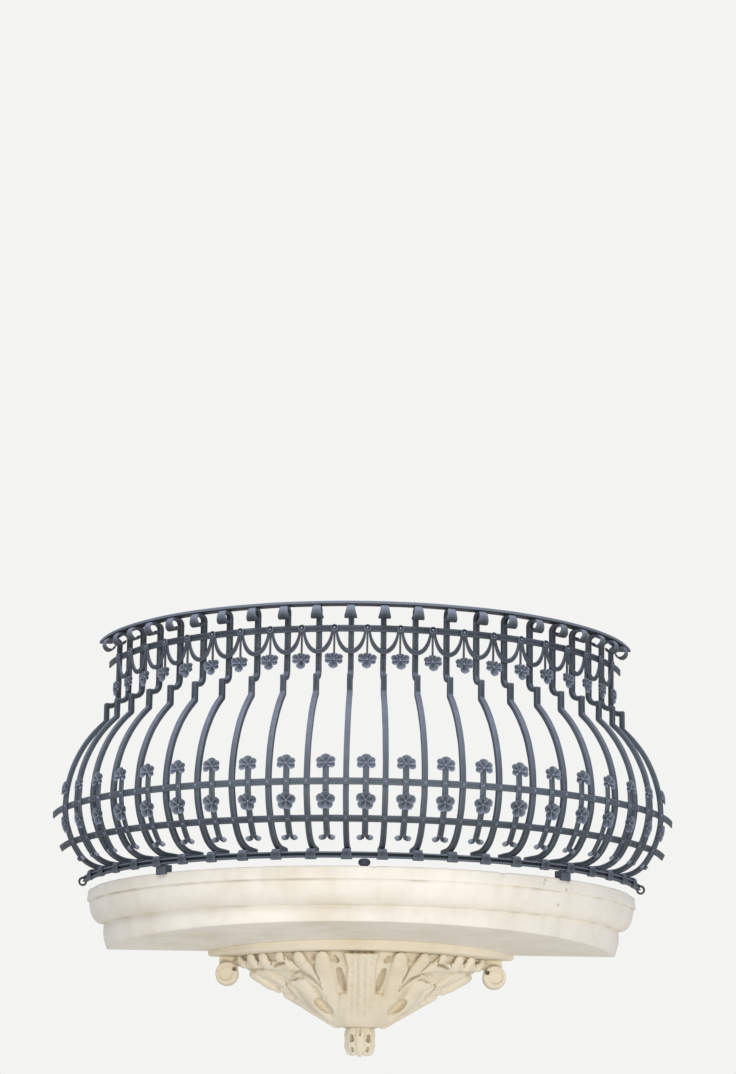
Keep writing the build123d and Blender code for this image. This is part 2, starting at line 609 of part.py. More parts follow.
def build():
    nodes = {
        "balcony_slab": slab(),
        "corbel_bed_mould": bed_mould(),
        "corbel": corbel(),
        "corbel_finial": finial(),
        "handrail": handrail(),
        "upper_band": flat_band(BAND_INNER + BAND_THICKNESS / 2, UPPER_BAND_LEVEL),
        "upper_belly_band": belly_band(UPPER_BELLY_BAND_LEVEL),
        "lower_belly_band": belly_band(LOWER_BELLY_BAND_LEVEL),
        "bottom_ring": bottom_ring(),
        "foot_left": place(foot_block(), -FOOT_BAY),
        "foot_middle": place(foot_knob(), 0),
        "foot_right": place(foot_block(), FOOT_BAY),
    }
    bar = baluster()
    for number in range(2 * BALUSTERS_EACH_SIDE):
        nodes[f"baluster_{number + 1:02d}"] = place(bar, number - BALUSTERS_EACH_SIDE + 0.5)
    bow = festoon()[0]
    drop = pendant()
    strip = flower_bar()
    for name, side in (("left", -1), ("right", 1)):
        bays = range(1, BALUSTERS_EACH_SIDE)
        nodes[f"festoons_{name}"] = group(place(bow, side * (bay - 0.5)) for bay in bays)
        nodes[f"pendants_{name}"] = group(place(drop, side * bay) for bay in bays)
        nodes[f"flower_bars_{name}"] = group(place(strip, side * bay) for bay in bays)
    nodes["pendant_middle"] = place(drop, 0)
    nodes["flower_bar_middle"] = place(strip, 0)
    return nodes


os.makedirs("parts", exist_ok=True)
for node, shape in build().items():
    export_step(shape, f"parts/{node}.step")
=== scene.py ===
import math

import bmesh
import bpy
import numpy as np
from mathutils import Matrix, Vector


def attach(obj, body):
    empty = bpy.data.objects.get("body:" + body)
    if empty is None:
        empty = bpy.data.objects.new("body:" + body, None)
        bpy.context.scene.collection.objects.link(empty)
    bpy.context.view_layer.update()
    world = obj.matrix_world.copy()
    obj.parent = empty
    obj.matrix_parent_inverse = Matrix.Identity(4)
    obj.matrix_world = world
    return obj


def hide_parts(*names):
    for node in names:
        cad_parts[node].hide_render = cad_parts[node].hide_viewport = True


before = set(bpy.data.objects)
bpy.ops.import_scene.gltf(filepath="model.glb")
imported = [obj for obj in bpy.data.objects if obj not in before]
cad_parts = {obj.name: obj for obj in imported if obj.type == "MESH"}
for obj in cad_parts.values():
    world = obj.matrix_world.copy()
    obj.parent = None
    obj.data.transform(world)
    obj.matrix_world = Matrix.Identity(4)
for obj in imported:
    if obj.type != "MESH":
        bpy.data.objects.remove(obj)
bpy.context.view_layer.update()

# The part's own sizes, in millimetres: reaches are from the common upright
# axis behind the wall, heights are above the slab's top.
AXIS = 220.0
SLAB_RADIUS = 1036.0
SLAB_TOP = 110.0
RUN = 978.0
DROP = 1020.0
BELLY = 1164.0
BELLY_HEIGHT = 286.0
DROP_FOOT = 611.0
LEDGE = 676.0
LEDGE_BEND = 22.0
BAR_WIDTH = 20.0
BAR_DEPTH = 18.0
BALUSTERS = 22
MIDDLE_BAY = (BALUSTERS - 1) / 2
END_BAR_OFF_WALL = 105.0
BAY = math.degrees(math.acos((AXIS + END_BAR_OFF_WALL) / RUN)) / MIDDLE_BAY
LOWER_ARC = 300.0
SWEEP_ARC = 129.0
SWEEP_LEVEL = 185.0
TAIL_END = 949.0
RAIL_REACH = 998.0
RAIL_UNDERSIDE = 923.0
RAIL_THICKNESS = 11.0
UPPER_BAND = 843.0
BELLY_BANDS = (273.0, 151.0)
BAND_HALF_HEIGHT = 12.0
BAND_HALF_THICKNESS = 3.0
BAND_GAP = 0.3
RING_REACH = 1044.0
RING_LEVEL = 37.0
STRIP_OFFSET = 6.6
STRIP_THICKNESS = 6.0
STRIP_WIDTH = 22.0
STRIP_FOOT = 95.0
EYE_REACH = 993.4
FESTOON_REACH = 987.65
PENDANT_DROP = 113.0
TOP_FLOWER = 333.0
PETAL_ROOT = 3.0
PETAL_CREASE = 1.6
PETAL_THICKNESS = 2.6
CORBEL_TOP = SLAB_TOP - 240.0
CORBEL_DEPTH = 256.0
BUD_AXIS = 46.0

# The belly is three arcs that meet in line: upper, lower and sweep
UPPER_TURN = 2 * math.atan((BELLY - DROP) / (DROP_FOOT - BELLY_HEIGHT))
UPPER_ARC = (DROP_FOOT - BELLY_HEIGHT) / math.sin(UPPER_TURN)
LOWER_TURN = math.asin((BELLY_HEIGHT - SWEEP_LEVEL) / (LOWER_ARC - SWEEP_ARC))
SWEEP_REACH = BELLY - LOWER_ARC + (LOWER_ARC - SWEEP_ARC) * math.cos(LOWER_TURN)
SWEEP_TOP = SWEEP_LEVEL - SWEEP_ARC * math.sin(LOWER_TURN)
UPPER = (BELLY - UPPER_ARC, BELLY_HEIGHT)
LOWER = (BELLY - LOWER_ARC, BELLY_HEIGHT)
SWEEP = (SWEEP_REACH, SWEEP_LEVEL)


# Numbers and lines


def hashed(cells, seed):
    """Value between -1 and 1 for each cell of a grid, the same on every run."""
    x, y, z = (cells[..., k] for k in range(3))
    n = x * 374761393 + y * 668265263 + z * 1440662683 + seed * 974711
    n = (n ^ (n >> 13)) * 1274126177
    n = n ^ (n >> 16)
    return (n & 0xFFFF) / 32767.5 - 1.0


def noise(points, size, seed=0):
    """Smooth value noise between -1 and 1 at an array of points."""
    grid = np.asarray(points, float) / size
    base = np.floor(grid).astype(np.int64)
    part = grid - base
    part = part * part * (3 - 2 * part)
    total = np.zeros(grid.shape[:-1])
    for corner in range(8):
        step = np.array([corner & 1, corner >> 1 & 1, corner >> 2 & 1])
        weight = np.prod(np.where(step == 1, part, 1 - part), axis=-1)
        total += weight * hashed(base + step, seed)
    return total


def smooth(low, high, value):
    t = np.clip((value - low) / (high - low), 0, 1)
    return t * t * (3 - 2 * t)


def bell(value, middle, width):
    return np.exp(-(((value - middle) / width) ** 2))


def unit(rows):
    return rows / np.linalg.norm(rows, axis=-1)[..., None]


def arc(middle, radius, start, end, steps):
    angle = np.radians(np.linspace(start, end, steps))
    return np.stack([middle[0] + radius * np.cos(angle), middle[1] + radius * np.sin(angle)], axis=1)


def line(start, end, steps):
    return np.linspace(np.array(start, float), np.array(end, float), steps)


def curve(rows, steps):
    """Smooth line through rows of numbers."""
    rows = np.asarray(rows, float)
    ends = np.concatenate([2 * rows[:1] - rows[1:2], rows, 2 * rows[-1:] - rows[-2:-1]])
    t = np.linspace(0, len(rows) - 1, steps)
    k = np.minimum(t.astype(int), len(rows) - 2)
    f = (t - k)[:, None]
    a, b, c, d = (ends[k + shift] for shift in range(4))
    square, cube = 2 * a - 5 * b + 4 * c - d, 3 * b - a - 3 * c + d
    return 0.5 * (2 * b + (c - a) * f + square * f**2 + cube * f**3)


def belly_point(height, offset=0.0):
    """Reach, height and tilt of a point off the bar's outer face on the belly."""
    (middle, centre), radius = UPPER, UPPER_ARC
    if height < SWEEP_TOP:
        (middle, centre), radius = SWEEP, SWEEP_ARC
    elif height < BELLY_HEIGHT:
        (middle, centre), radius = LOWER, LOWER_ARC
    tilt = math.asin((height - centre) / radius)
    span = radius + offset
    return middle + span * math.cos(tilt), centre + span * math.sin(tilt), tilt


def standing(local, bay):
    """Carry (reach, side, height) points to their bay on the common axis."""
    turn = math.radians(bay * BAY)
    reach, side, height = local[..., 0], local[..., 1], local[..., 2]
    x = reach * math.sin(turn) + side * math.cos(turn)
    y = AXIS - reach * math.cos(turn) + side * math.sin(turn)
    return np.stack([x, y, SLAB_TOP + height], axis=-1)


def facing(points, reach, height, tilt=0.0):
    """Turn (right, up, out) points so that they face outwards at a reach and height."""
    right, up, out = points[..., 0], points[..., 1], points[..., 2]
    r = reach + out * math.cos(tilt) - up * math.sin(tilt)
    h = height + out * math.sin(tilt) + up * math.cos(tilt)
    return np.stack([r, right, h], axis=-1)


def turned(points, degrees):
    """Turn (right, up, out) points in the facing plane."""
    turn = math.radians(degrees)
    right = points[..., 0] * math.cos(turn) - points[..., 1] * math.sin(turn)
    up = points[..., 0] * math.sin(turn) + points[..., 1] * math.cos(turn)
    return np.stack([right, up, points[..., 2]], axis=-1)


def section(half_width, half_thick, corner):
    """Rounded bar section of 16 points for each station: across and through."""
    half_width, half_thick = (np.atleast_1d(np.asarray(v, float)) for v in (half_width, half_thick))
    radius = np.minimum(corner, 0.85 * np.minimum(half_width, half_thick))
    across, through = [], []
    for quarter, (a, t) in enumerate(((1, 1), (-1, 1), (-1, -1), (1, -1))):
        for turn in (0, 45, 90):
            angle = math.radians(90 * quarter + turn)
            across.append(a * (half_width - radius) + radius * math.cos(angle))
            through.append(t * (half_thick - radius) + radius * math.sin(angle))
        across.append(quarter % 2 * a * half_width)
        through.append((1 - quarter % 2) * t * half_thick)
    return np.stack(across, axis=-1), np.stack(through, axis=-1)


def strip(back, front, width, corner):
    """Rings of (reach, side, height) along a bar with a back and a front line."""
    back, front = np.asarray(back, float), np.asarray(front, float)
    middle, half = (back + front) / 2, (front - back) / 2
    across, through = section(np.asarray(width) / 2, np.linalg.norm(half, axis=1), corner)
    reach, height = (middle[:, k, None] + unit(half)[:, k, None] * through for k in (0, 1))
    return np.stack([reach, across, height], axis=-1)


def flat_path(path, width, thick, corner):
    """Rings of (right, up, out) along a bar that lies in the facing plane."""
    ahead = unit(np.gradient(path[:, :2], axis=0))
    width, thick = (np.broadcast_to(v, len(path)) / 2 for v in (width, thick))
    across, through = section(width, thick, corner)
    right = path[:, 0, None] - ahead[:, 1, None] * across
    up = path[:, 1, None] + ahead[:, 0, None] * across
    return np.stack([right, up, path[:, 2, None] + through], axis=-1)


def lathe(profile, sides):
    """Rings of (right, up, out) turned about the out axis."""
    angle = np.arange(sides) * 2 * math.pi / sides
    radius, out = np.asarray(profile, float).T[:, :, None]
    return np.stack([radius * np.cos(angle), radius * np.sin(angle), out + 0 * angle], axis=-1)


def bar_loop(reach, height, half_out, half_up, corner, tilt=0.0):
    """Rounded section of a rail standing at a reach and height."""
    out, up = (side[0] for side in section(half_out, half_up, corner))
    return facing(np.stack([0 * up, up, out], axis=-1), reach, height, tilt)[:, [0, 2]]


def hammered(points, amount, seed, size=38.0):
    """Uneven forged surface: small slow pushes along each axis."""
    broad = np.stack([noise(points, size, seed + k) for k in range(3)], axis=-1)
    fine = np.stack([noise(points, size / 4, seed + 10 + k) for k in range(3)], axis=-1)
    return points + amount * (broad + 0.35 * fine)


# Materials


class Paint:
    """Short way to write a node material."""

    def __init__(self, name):
        self.material = bpy.data.materials.new(name)
        self.material.use_nodes = True
        self.tree = self.material.node_tree
        self.place = self.add("TexCoord").outputs["Object"]

    def feed(self, target, value):
        """Link a socket to another, or set it to a number, a list or a colour, which is a tuple."""
        if isinstance(value, bpy.types.NodeSocket):
            self.tree.links.new(value, target)
        else:
            target.default_value = (*value, 1) if isinstance(value, tuple) else value

    def add(self, kind, sockets=None, **settings):
        node = self.tree.nodes.new("ShaderNode" + kind)
        for key, value in settings.items():
            setattr(node, key, value)
        for key, value in (sockets or {}).items():
            self.feed(node.inputs[key], value)
        return node

    def noise(self, scale, detail=4.0, rough=0.55, stretch=None):
        node = self.add("TexNoise", {"Scale": scale, "Detail": detail, "Roughness": rough})
        place = self.place
        if stretch:
            place = self.add("Mapping", {"Vector": place, "Scale": stretch}).outputs["Vector"]
        self.feed(node.inputs["Vector"], place)
        return node.outputs["Fac"]

    def ramp(self, value, *stops):
        node = self.add("ValToRGB", {"Fac": value})
        elements = node.color_ramp.elements
        for index, (at, colour) in enumerate(stops):
            spot = elements[index] if index < 2 else elements.new(at)
            spot.position = at
            spot.color = (*colour, 1) if isinstance(colour, tuple) else (colour, colour, colour, 1)
        return node.outputs["Color"]

    def math(self, operation, first, second=0.0):
        return self.add("Math", {0: first, 1: second}, operation=operation).outputs[0]

    def over(self, base, mask, amount, colour):
        """Lay a colour over the base where the mask is up."""
        share = self.math("MULTIPLY", mask, amount)
        return self.add("Mix", {0: share, 6: base, 7: colour}, data_type="RGBA").outputs[2]

    def parts(self, vector):
        return self.add("SeparateXYZ", {0: vector}).outputs

    def mark(self, name):
        return self.add("Attribute", attribute_name=name).outputs["Fac"]

    def finish(self, colour, rough, specular, *bumps):
        """Feed the shader; each bump is a height, a distance and a strength."""
        under = None
        for height, distance, strength in bumps:
            sockets = {"Height": height, "Distance": distance, "Strength": strength}
            if under:
                sockets["Normal"] = under
            under = self.add("Bump", sockets).outputs["Normal"]
        shader = self.tree.nodes["Principled BSDF"].inputs
        self.feed(shader["Base Color"], colour)
        self.feed(shader["Roughness"], rough)
        self.feed(shader["Specular IOR Level"], specular)
        self.feed(shader["Normal"], under)
        return self.material


def iron_paint():
    """Old dark paint of uneven tone with rust and rubbed edges, carrying painted light: sky highlight on
    upward faces and belly fronts, shade in creases, and highlight and shade from the per-point light mark.
    """
    paint = Paint("painted_iron")
    broad, fine, pits = paint.noise(9.0, 5.0), paint.noise(70.0), paint.noise(260.0, 3.0)
    dark, tone, light = (0.013, 0.017, 0.023), (0.023, 0.029, 0.038), (0.040, 0.050, 0.061)
    base = paint.ramp(broad, (0.3, dark), (0.52, tone), (0.72, light))
    base = paint.over(base, paint.ramp(fine, (0.55, 0.0), (0.72, 1.0)), 0.35, (0.115, 0.135, 0.175))
    shape = paint.add("NewGeometry").outputs
    slope, level = paint.parts(shape["Normal"]), paint.parts(paint.place)
    # Belly faces that turn to the street are painted lighter bluish grey: painted sky reflection.
    belly = paint.ramp(level["Z"], (0.20, 0.0), (0.36, 1.0), (0.66, 1.0), (0.76, 0.15))
    street = paint.math("MAXIMUM", paint.math("MULTIPLY", slope["Y"], -1.0), 0.0)
    base = paint.over(base, paint.math("MULTIPLY", belly, street), 0.55, (0.125, 0.155, 0.185))
    # Upward faces are painted lighter lavender in patches: painted sky highlight.
    up = paint.math("ADD", slope["Z"], paint.math("MULTIPLY", broad, 0.4))
    skylit_top = paint.ramp(up, (0.26, 0.0), (0.75, 1.0))
    patchy = paint.ramp(fine, (0.25, 0.92), (0.75, 0.45))
    base = paint.over(base, skylit_top, patchy, (0.235, 0.262, 0.350))
    rust = paint.ramp(paint.noise(31.0, 6.0, 0.7), (0.64, 0.0), (0.76, 1.0))
    base = paint.over(base, rust, 0.5, (0.060, 0.030, 0.018))
    edge = paint.ramp(shape["Pointiness"], (0.505, 0.0), (0.56, 1.0))
    base = paint.over(base, edge, 0.5, (0.200, 0.225, 0.275))
    # Concave creases are painted near black: painted shade.
    nook_shade = paint.ramp(shape["Pointiness"], (0.44, 1.0), (0.49, 0.0))
    base = paint.over(base, nook_shade, 0.75, (0.012, 0.012, 0.014))
    # Where the per-point mark is up the paint turns light lavender, a painted highlight; where it is down
    # it turns near black, a painted shade.
    wear_and_light = paint.mark("wear_and_light")
    base = paint.over(base, wear_and_light, 0.8, (0.330, 0.375, 0.470))
    base = paint.over(base, paint.math("MINIMUM", wear_and_light, 0.0), -0.85, (0.008, 0.009, 0.011))
    rough = paint.ramp(fine, (0.3, 0.44), (0.7, 0.64))
    bumps = (broad, 0.0016, 0.8), (fine, 0.0005, 0.7), (pits, 0.00018, 0.6)
    return paint.finish(base, rough, 0.27, *bumps)


def masonry_paint(name, tone, shade_and_dirt):
    """Smooth weathered stone, with streaks, stains and specks, and brown dirt with painted shade where
    "hollow" is up.
    """
    paint = Paint(name)
    broad, blotch = paint.noise(3.2, 5.0), paint.noise(11.0, 6.0, 0.62)
    runs, grain = paint.noise(1.0, 5.0, 0.6, [16.0, 16.0, 3.0]), paint.noise(420.0, 3.0)
    light = tuple(min(1.0, 1.09 * c) for c in tone)
    dark = (tone[0] * 0.90, tone[1] * 0.86, tone[2] * 0.78)
    base = paint.ramp(broad, (0.26, dark), (0.48, tone), (0.70, light))
    base = paint.over(base, paint.ramp(blotch, (0.50, 0.0), (0.72, 1.0)), 0.10, (0.52, 0.42, 0.29))
    base = paint.over(base, paint.ramp(runs, (0.52, 0.0), (0.75, 1.0)), 0.14, (0.45, 0.40, 0.31))
    # Brown where the hollow mark is up: dirt and painted shade in recesses.
    base = paint.over(base, paint.mark("hollow"), shade_and_dirt, (0.33, 0.26, 0.15))
    specks = paint.ramp(paint.noise(90.0, 5.0, 0.75), (0.66, 0.0), (0.74, 1.0))
    base = paint.over(base, specks, 0.35, (0.24, 0.20, 0.15))
    rough, rub = paint.ramp(blotch, (0.3, 0.80), (0.7, 0.95)), paint.noise(60.0, 5.0, 0.6)
    bumps = (blotch, 0.0022, 0.6), (rub, 0.0009, 0.7), (grain, 0.0002, 0.6)
    return paint.finish(base, rough, 0.25, *bumps)


IRON = iron_paint()
MASONRY = masonry_paint("aged_masonry", (0.86, 0.81, 0.725), 0.6)
CARVED = masonry_paint("carved_masonry", (0.82, 0.745, 0.60), 0.8)


# Meshes


class Shape:
    """Gathers closed shells, in millimetres, with a light mark for each point: painted highlight where it
    is up, painted shade where it is down.
    """

    def __init__(self):
        self.points, self.faces, self.wear_and_light = [], [], []
        self.count = 0

    def add(self, points, faces, wear_and_light=0.0):
        points = np.asarray(points, float).reshape(-1, 3)
        self.points.append(points)
        self.wear_and_light.append(np.broadcast_to(np.asarray(wear_and_light, float), len(points)))
        self.faces.extend(tuple(int(i) + self.count for i in face) for face in faces)
        self.count += len(points)

    def tube(self, rings, wear_and_light=0.0):
        """Skin closed rings of points, with a fan over each end."""
        steps, around = rings.shape[:2]
        index = np.arange(steps * around).reshape(steps, around)
        after = np.roll(index, -1, axis=1)
        quads = np.stack([index[:-1], after[:-1], after[1:], index[1:]], axis=-1)
        faces = quads.reshape(-1, 4).tolist()
        first, last = steps * around, steps * around - around
        for j, k in zip(index[0], after[0]):
            faces += [(first, k, j), (first + 1, last + j, last + k)]
        if np.ndim(wear_and_light) == 2:
            wear_and_light = np.append(wear_and_light, [wear_and_light[0].mean(), wear_and_light[-1].mean()])
        self.add(np.concatenate([rings.reshape(-1, 3), rings[[0, -1]].mean(1)]), faces, wear_and_light)


def put(name, data):
    made = bpy.data.objects.new(name, data)
    bpy.context.scene.collection.objects.link(made)
    return made


def dressed(name, mesh, node, material, sharp=40.0):
    """Make an object of the mesh, let it ride on the part and stand for its node."""
    mesh.materials.clear()
    mesh.materials.append(material)
    mesh.shade_smooth()
    mesh.set_sharp_from_angle(angle=math.radians(sharp))
    made = put(name, mesh)
    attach(made, "root")
    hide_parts(node)


def marked(mesh, name, values):
    """Write one value per point, for the material to read."""
    mark = mesh.attributes.new(name, "FLOAT", "POINT")
    mark.data.foreach_set("value", np.asarray(values, np.float32))


def meshed(name, shape):
    mesh = bpy.data.meshes.new(name)
    mesh.from_pydata((np.concatenate(shape.points) / 1000).tolist(), [], shape.faces)
    bm = bmesh.new()
    bm.from_mesh(mesh)
    bmesh.ops.recalc_face_normals(bm, faces=bm.faces)
    bm.to_mesh(mesh)
    bm.free()
    marked(mesh, "wear_and_light", np.concatenate(shape.wear_and_light))
    return mesh


def ironwork(made_as, node, shape):
    name = f"{made_as}_{node}"
    dressed(name, meshed(name, shape), node, IRON)


def stonework(name, node, shape, material, sharp, hollow=None):
    mesh = meshed(name, shape)
    if hollow is not None:
        marked(mesh, "hollow", hollow)
    dressed(name, mesh, node, material, sharp)


# Balusters


def baluster_lines():
    """Back line, front line and width of a baluster from the tip of its curl to its tail."""

    def bent(middle, radius, start, end, steps, depth=BAR_DEPTH):
        return arc(middle, radius - depth, start, end, steps), arc(middle, radius, start, end, steps)

    crown, neck, inside = RAIL_UNDERSIDE - 0.3, RUN - BAR_DEPTH, DROP - BAR_DEPTH
    kick = (RUN + LEDGE_BEND, LEDGE + LEDGE_BEND)
    turn = np.linspace(-168, 90, 44)
    ray = arc((0, 0), 1, -168, 90, 44)
    outer = np.interp(turn, (-168, -120, -70, 90), (19.5, 22.8, 25, 25))
    inner = outer - np.interp(turn, (-168, -150, -90, 0, 90), (1.6, 4.2, 6, 6.6, 9))
    at, wide = (-168, -140, -100, -75, -40, 0, 50, 90), (28, 38, 45, 46, 42.5, 34, 28, 21)
    flare = np.interp(turn, at, wide)
    curl = np.array([RUN + 29, crown - 25])
    upper_end = math.degrees(math.acos((inside - UPPER[0]) / (UPPER_ARC - BAR_DEPTH)))
    low, foot = math.degrees(LOWER_TURN), SWEEP_LEVEL - SWEEP_ARC
    lines = (
        (curl + ray * outer[:, None], curl + ray * inner[:, None]),
        (arc((RUN + 7, crown - 25), 25, 93, 180, 9),
         arc((RUN + 14.5, crown - 23.5), 14.5, 93, 180, 9)),
        (line((neck, crown - 34), (neck, kick[1] + 5), 16),
         line((RUN, crown - 34), (RUN, kick[1] + 5), 16)),
        bent(kick, LEDGE_BEND, 180, 268, 10, -BAR_DEPTH),
        ([(inside - 1.2, 658), (inside - 0.5, 657.9), (inside - 0.1, 657.3), (inside, 656.6)],
         [(DROP - 3.5, LEDGE), (DROP - 1.4, 675.2), (DROP - 0.4, 673.6), (DROP, 671)]),
        (line((inside, 648), (inside, 607), 5), line((DROP, 652), (DROP, 613), 5)),
        (arc(UPPER, UPPER_ARC - BAR_DEPTH, upper_end - 0.5, 0.8, 28),
         arc(UPPER, UPPER_ARC, math.degrees(UPPER_TURN) - 0.5, 0.8, 28)),
        bent(LOWER, LOWER_ARC, -0.8, -low, 20),
        bent(SWEEP, SWEEP_ARC, -low - 3, -90, 16),
        (line((SWEEP_REACH - 8, foot + 18), (TAIL_END + 2, foot + 17), 5),
         line((SWEEP_REACH - 8, foot), (TAIL_END, foot + 1.5), 5)),
    )
    back, front = (np.concatenate(side) for side in zip(*lines))
    straight = np.full(len(back) - 53, BAR_WIDTH)
    return back, front, np.concatenate([flare, np.linspace(22.5, 20.3, 9), straight])


# Strap that holds the ring: outer reach and height, inner reach and height, width
WRAP = np.array([
    (1013, 57.2, 1013, 50.2, 18), (1024, 58, 1024, 50, 21), (1040, 58, 1040, 48.4, 26),
    (1050, 57.6, 1048, 48.2, 28.5), (1055.5, 56, 1052, 48, 29.5), (1059.2, 52.6, 1053.8, 47.2, 30.5),
    (1061, 47.5, 1054.4, 45, 31.5), (1061.3, 41, 1054.4, 41, 34), (1061.3, 35, 1054.4, 35, 36.5),
    (1061, 29, 1054.4, 30.5, 39), (1059.4, 23.8, 1053.9, 27.6, 40.5), (1056, 20.9, 1052.6, 26.6, 41),
    (1051, 19.8, 1050, 26.5, 40), (1045, 19.9, 1045, 26.3, 36),
])


def balusters():
    bar = strip(*baluster_lines(), 2.6)
    strap = strip(WRAP[:, 2:4], WRAP[:, :2], WRAP[:, 4], 2.2)
    # Along the curl the mark paints a highlight near its crown and shade towards its hooked tip: painted
    # light and shade.
    at, light = (0, 13, 21, 28, 35, 44, 50), (-0.6, -0.45, -0.1, 0.3, 0.6, 0.2, 0)
    curl = np.interp(np.arange(len(bar)), at, light)
    wear_and_light = np.broadcast_to(curl[:, None], bar.shape[:2])
    for number in range(BALUSTERS):
        bay = number - MIDDLE_BAY
        shape = Shape()
        shape.tube(hammered(standing(bar, bay), 0.45, 20 + number), wear_and_light)
        shape.tube(hammered(standing(strap, bay), 0.25, 50 + number, 20.0))
        ironwork("forged", f"baluster_{number + 1:02d}", shape)


# Rails and feet


def wall_to_wall(shape, loop, seed, wave, wear_and_light=0.0, steps=240):
    """Sweep a loop of (reach, height) points about the axis from wall to wall."""
    loop = np.asarray(loop, float)
    share = np.linspace(-1, 1, steps)[:, None]
    turn = share * np.arccos(AXIS / loop[:, 0])
    fade = wave * (1 - smooth(0.96, 1.0, np.abs(share)))
    along = share * np.array([1500.0, 0.0, 0.0])
    reach = loop[:, 0] + fade * noise(along, 90.0, seed)[:, None]
    rise = 0.8 * fade * (noise(along, 120.0, seed + 1)[:, None] - 1)
    y = np.minimum(AXIS - reach * np.cos(turn), 0.0)
    y[[0, -1]] = 0.0
    rings = np.stack([reach * np.sin(turn), y, SLAB_TOP + loop[:, 1] + rise], axis=-1)
    shape.tube(rings, np.append(np.broadcast_to(wear_and_light, rings.shape[:2]), [0, 0]))


def rivet(shape, bay, level, offset):
    """Domed head on the belly, painted with a highlight that is weaker on the lower band."""
    dome = [(5.6, -1.0), (5.6, 0.3), (4.8, 2.1), (2.8, 3.1), (0.1, 3.4)]
    # Painted highlight on the dome, weaker on the lower band.
    wear_and_light = 0.4 if level == BELLY_BANDS[0] else 0.15
    shape.tube(standing(facing(lathe(dome, 12), *belly_point(level, offset)), bay), wear_and_light)


def rails():
    shape = Shape()
    half = RAIL_THICKNESS / 2
    loop = bar_loop(RAIL_REACH, RAIL_UNDERSIDE + half, 24, half, 2.4)
    # Outer face painted lighter and underside painted darker: painted light and shade.
    light = 0.5 * (loop[:, 0] > RAIL_REACH + 22) - 0.9 * (loop[:, 1] < RAIL_UNDERSIDE + 2)
    wall_to_wall(shape, loop, 71, 0.5, light)
    ironwork("rolled", "handrail", shape)
    shape = Shape()
    middle = BAND_GAP + BAND_HALF_THICKNESS
    band = (BAND_HALF_THICKNESS, BAND_HALF_HEIGHT, 1.2)
    wall_to_wall(shape, bar_loop(RUN + middle, UPPER_BAND, *band), 75, 0.4)
    ironwork("rolled", "upper_band", shape)
    for node, level in zip(("upper_belly_band", "lower_belly_band"), BELLY_BANDS):
        shape = Shape()
        reach, height, tilt = belly_point(level, middle)
        wall_to_wall(shape, bar_loop(reach, height, *band, tilt), 80 + int(level), 0.4)
        for number in range(BALUSTERS):
            rivet(shape, number - MIDDLE_BAY, level, middle + BAND_HALF_THICKNESS)
        ironwork("rolled", node, shape)


def bottom_ring():
    """Ring with two lips and a groove between them, painted lighter on top and darker underneath and in the
    groove (painted light and shade), and a small scroll at each end.
    """
    shape = Shape()
    lips = [(-10, -8), (-8, -10), (8.4, -10), (10, -8.8), (10, -5.2), (7, -3.8)]
    lips += [(7, 3.4), (10, 4.8), (10, 8.8), (8.4, 10), (-8, 10), (-10, 8)]
    # Mark round the section: lighter on the lips' tops, darker underneath and in the groove: painted light
    # and shade.
    wear_and_light = [-0.3, -0.5, -0.1, 0.1, 0.1, -0.8, -0.8, 0.1, 0.3, 0.2, -0.2, -0.3]
    wall_to_wall(shape, [(RING_REACH + r, RING_LEVEL + h) for r, h in lips], 91, 0.5, wear_and_light, 260)
    end = math.sqrt(RING_REACH**2 - AXIS**2)
    turn, count = np.radians(np.linspace(150, -250, 46)), np.arange(46)
    half = np.interp(count, (0, 40, 45), (3.8, 3.4, 1.8))
    across, through = section(half, np.full(46, 6.9), 1.8)
    radius = np.interp(count, (0, 8, 45), (14.8, 14.6, 10.6))[:, None] + across
    x = end + 8 + radius * np.cos(turn)[:, None]
    h = RING_LEVEL - 10 + radius * np.sin(turn)[:, None]
    for side in (-1, 1):
        shape.tube(np.stack([side * x, -7.0 + through, SLAB_TOP + h], axis=-1))
    ironwork("rolled", "bottom_ring", shape)


def feet():
    for node in ("foot_left", "foot_right"):
        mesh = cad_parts[node].data.copy()
        bm = bmesh.new()
        bm.from_mesh(mesh)
        bmesh.ops.remove_doubles(bm, verts=bm.verts, dist=1e-5)
        bmesh.ops.dissolve_limit(bm, angle_limit=0.02, verts=bm.verts, edges=bm.edges)
        sharp = [e for e in bm.edges if len(e.link_faces) == 2 and e.calc_face_angle() > 0.5]
        bmesh.ops.bevel(bm, geom=sharp, offset=0.0018, segments=3, profile=0.5, affect="EDGES")
        bmesh.ops.triangulate(bm, faces=[f for f in bm.faces if len(f.verts) > 4])
        bm.to_mesh(mesh)
        bm.free()
        dressed("forged_" + node, mesh, node, IRON)
    shape = Shape()
    turn = np.radians(np.linspace(-84, 84, 15))
    knob = lathe(np.stack([2 + 19.2 * np.cos(turn) ** 0.75, 13.3 + 13.3 * np.sin(turn)], axis=1), 36)
    local = np.stack([SLAB_RADIUS - 15 + knob[..., 1], knob[..., 0], knob[..., 2]], axis=-1)
    # The knob is painted darker all over: painted shade under the ring.
    shape.tube(hammered(standing(local, 0), 0.5, 60, 15.0), -0.45)
    ironwork("forged", "foot_middle", shape)


# Ornaments


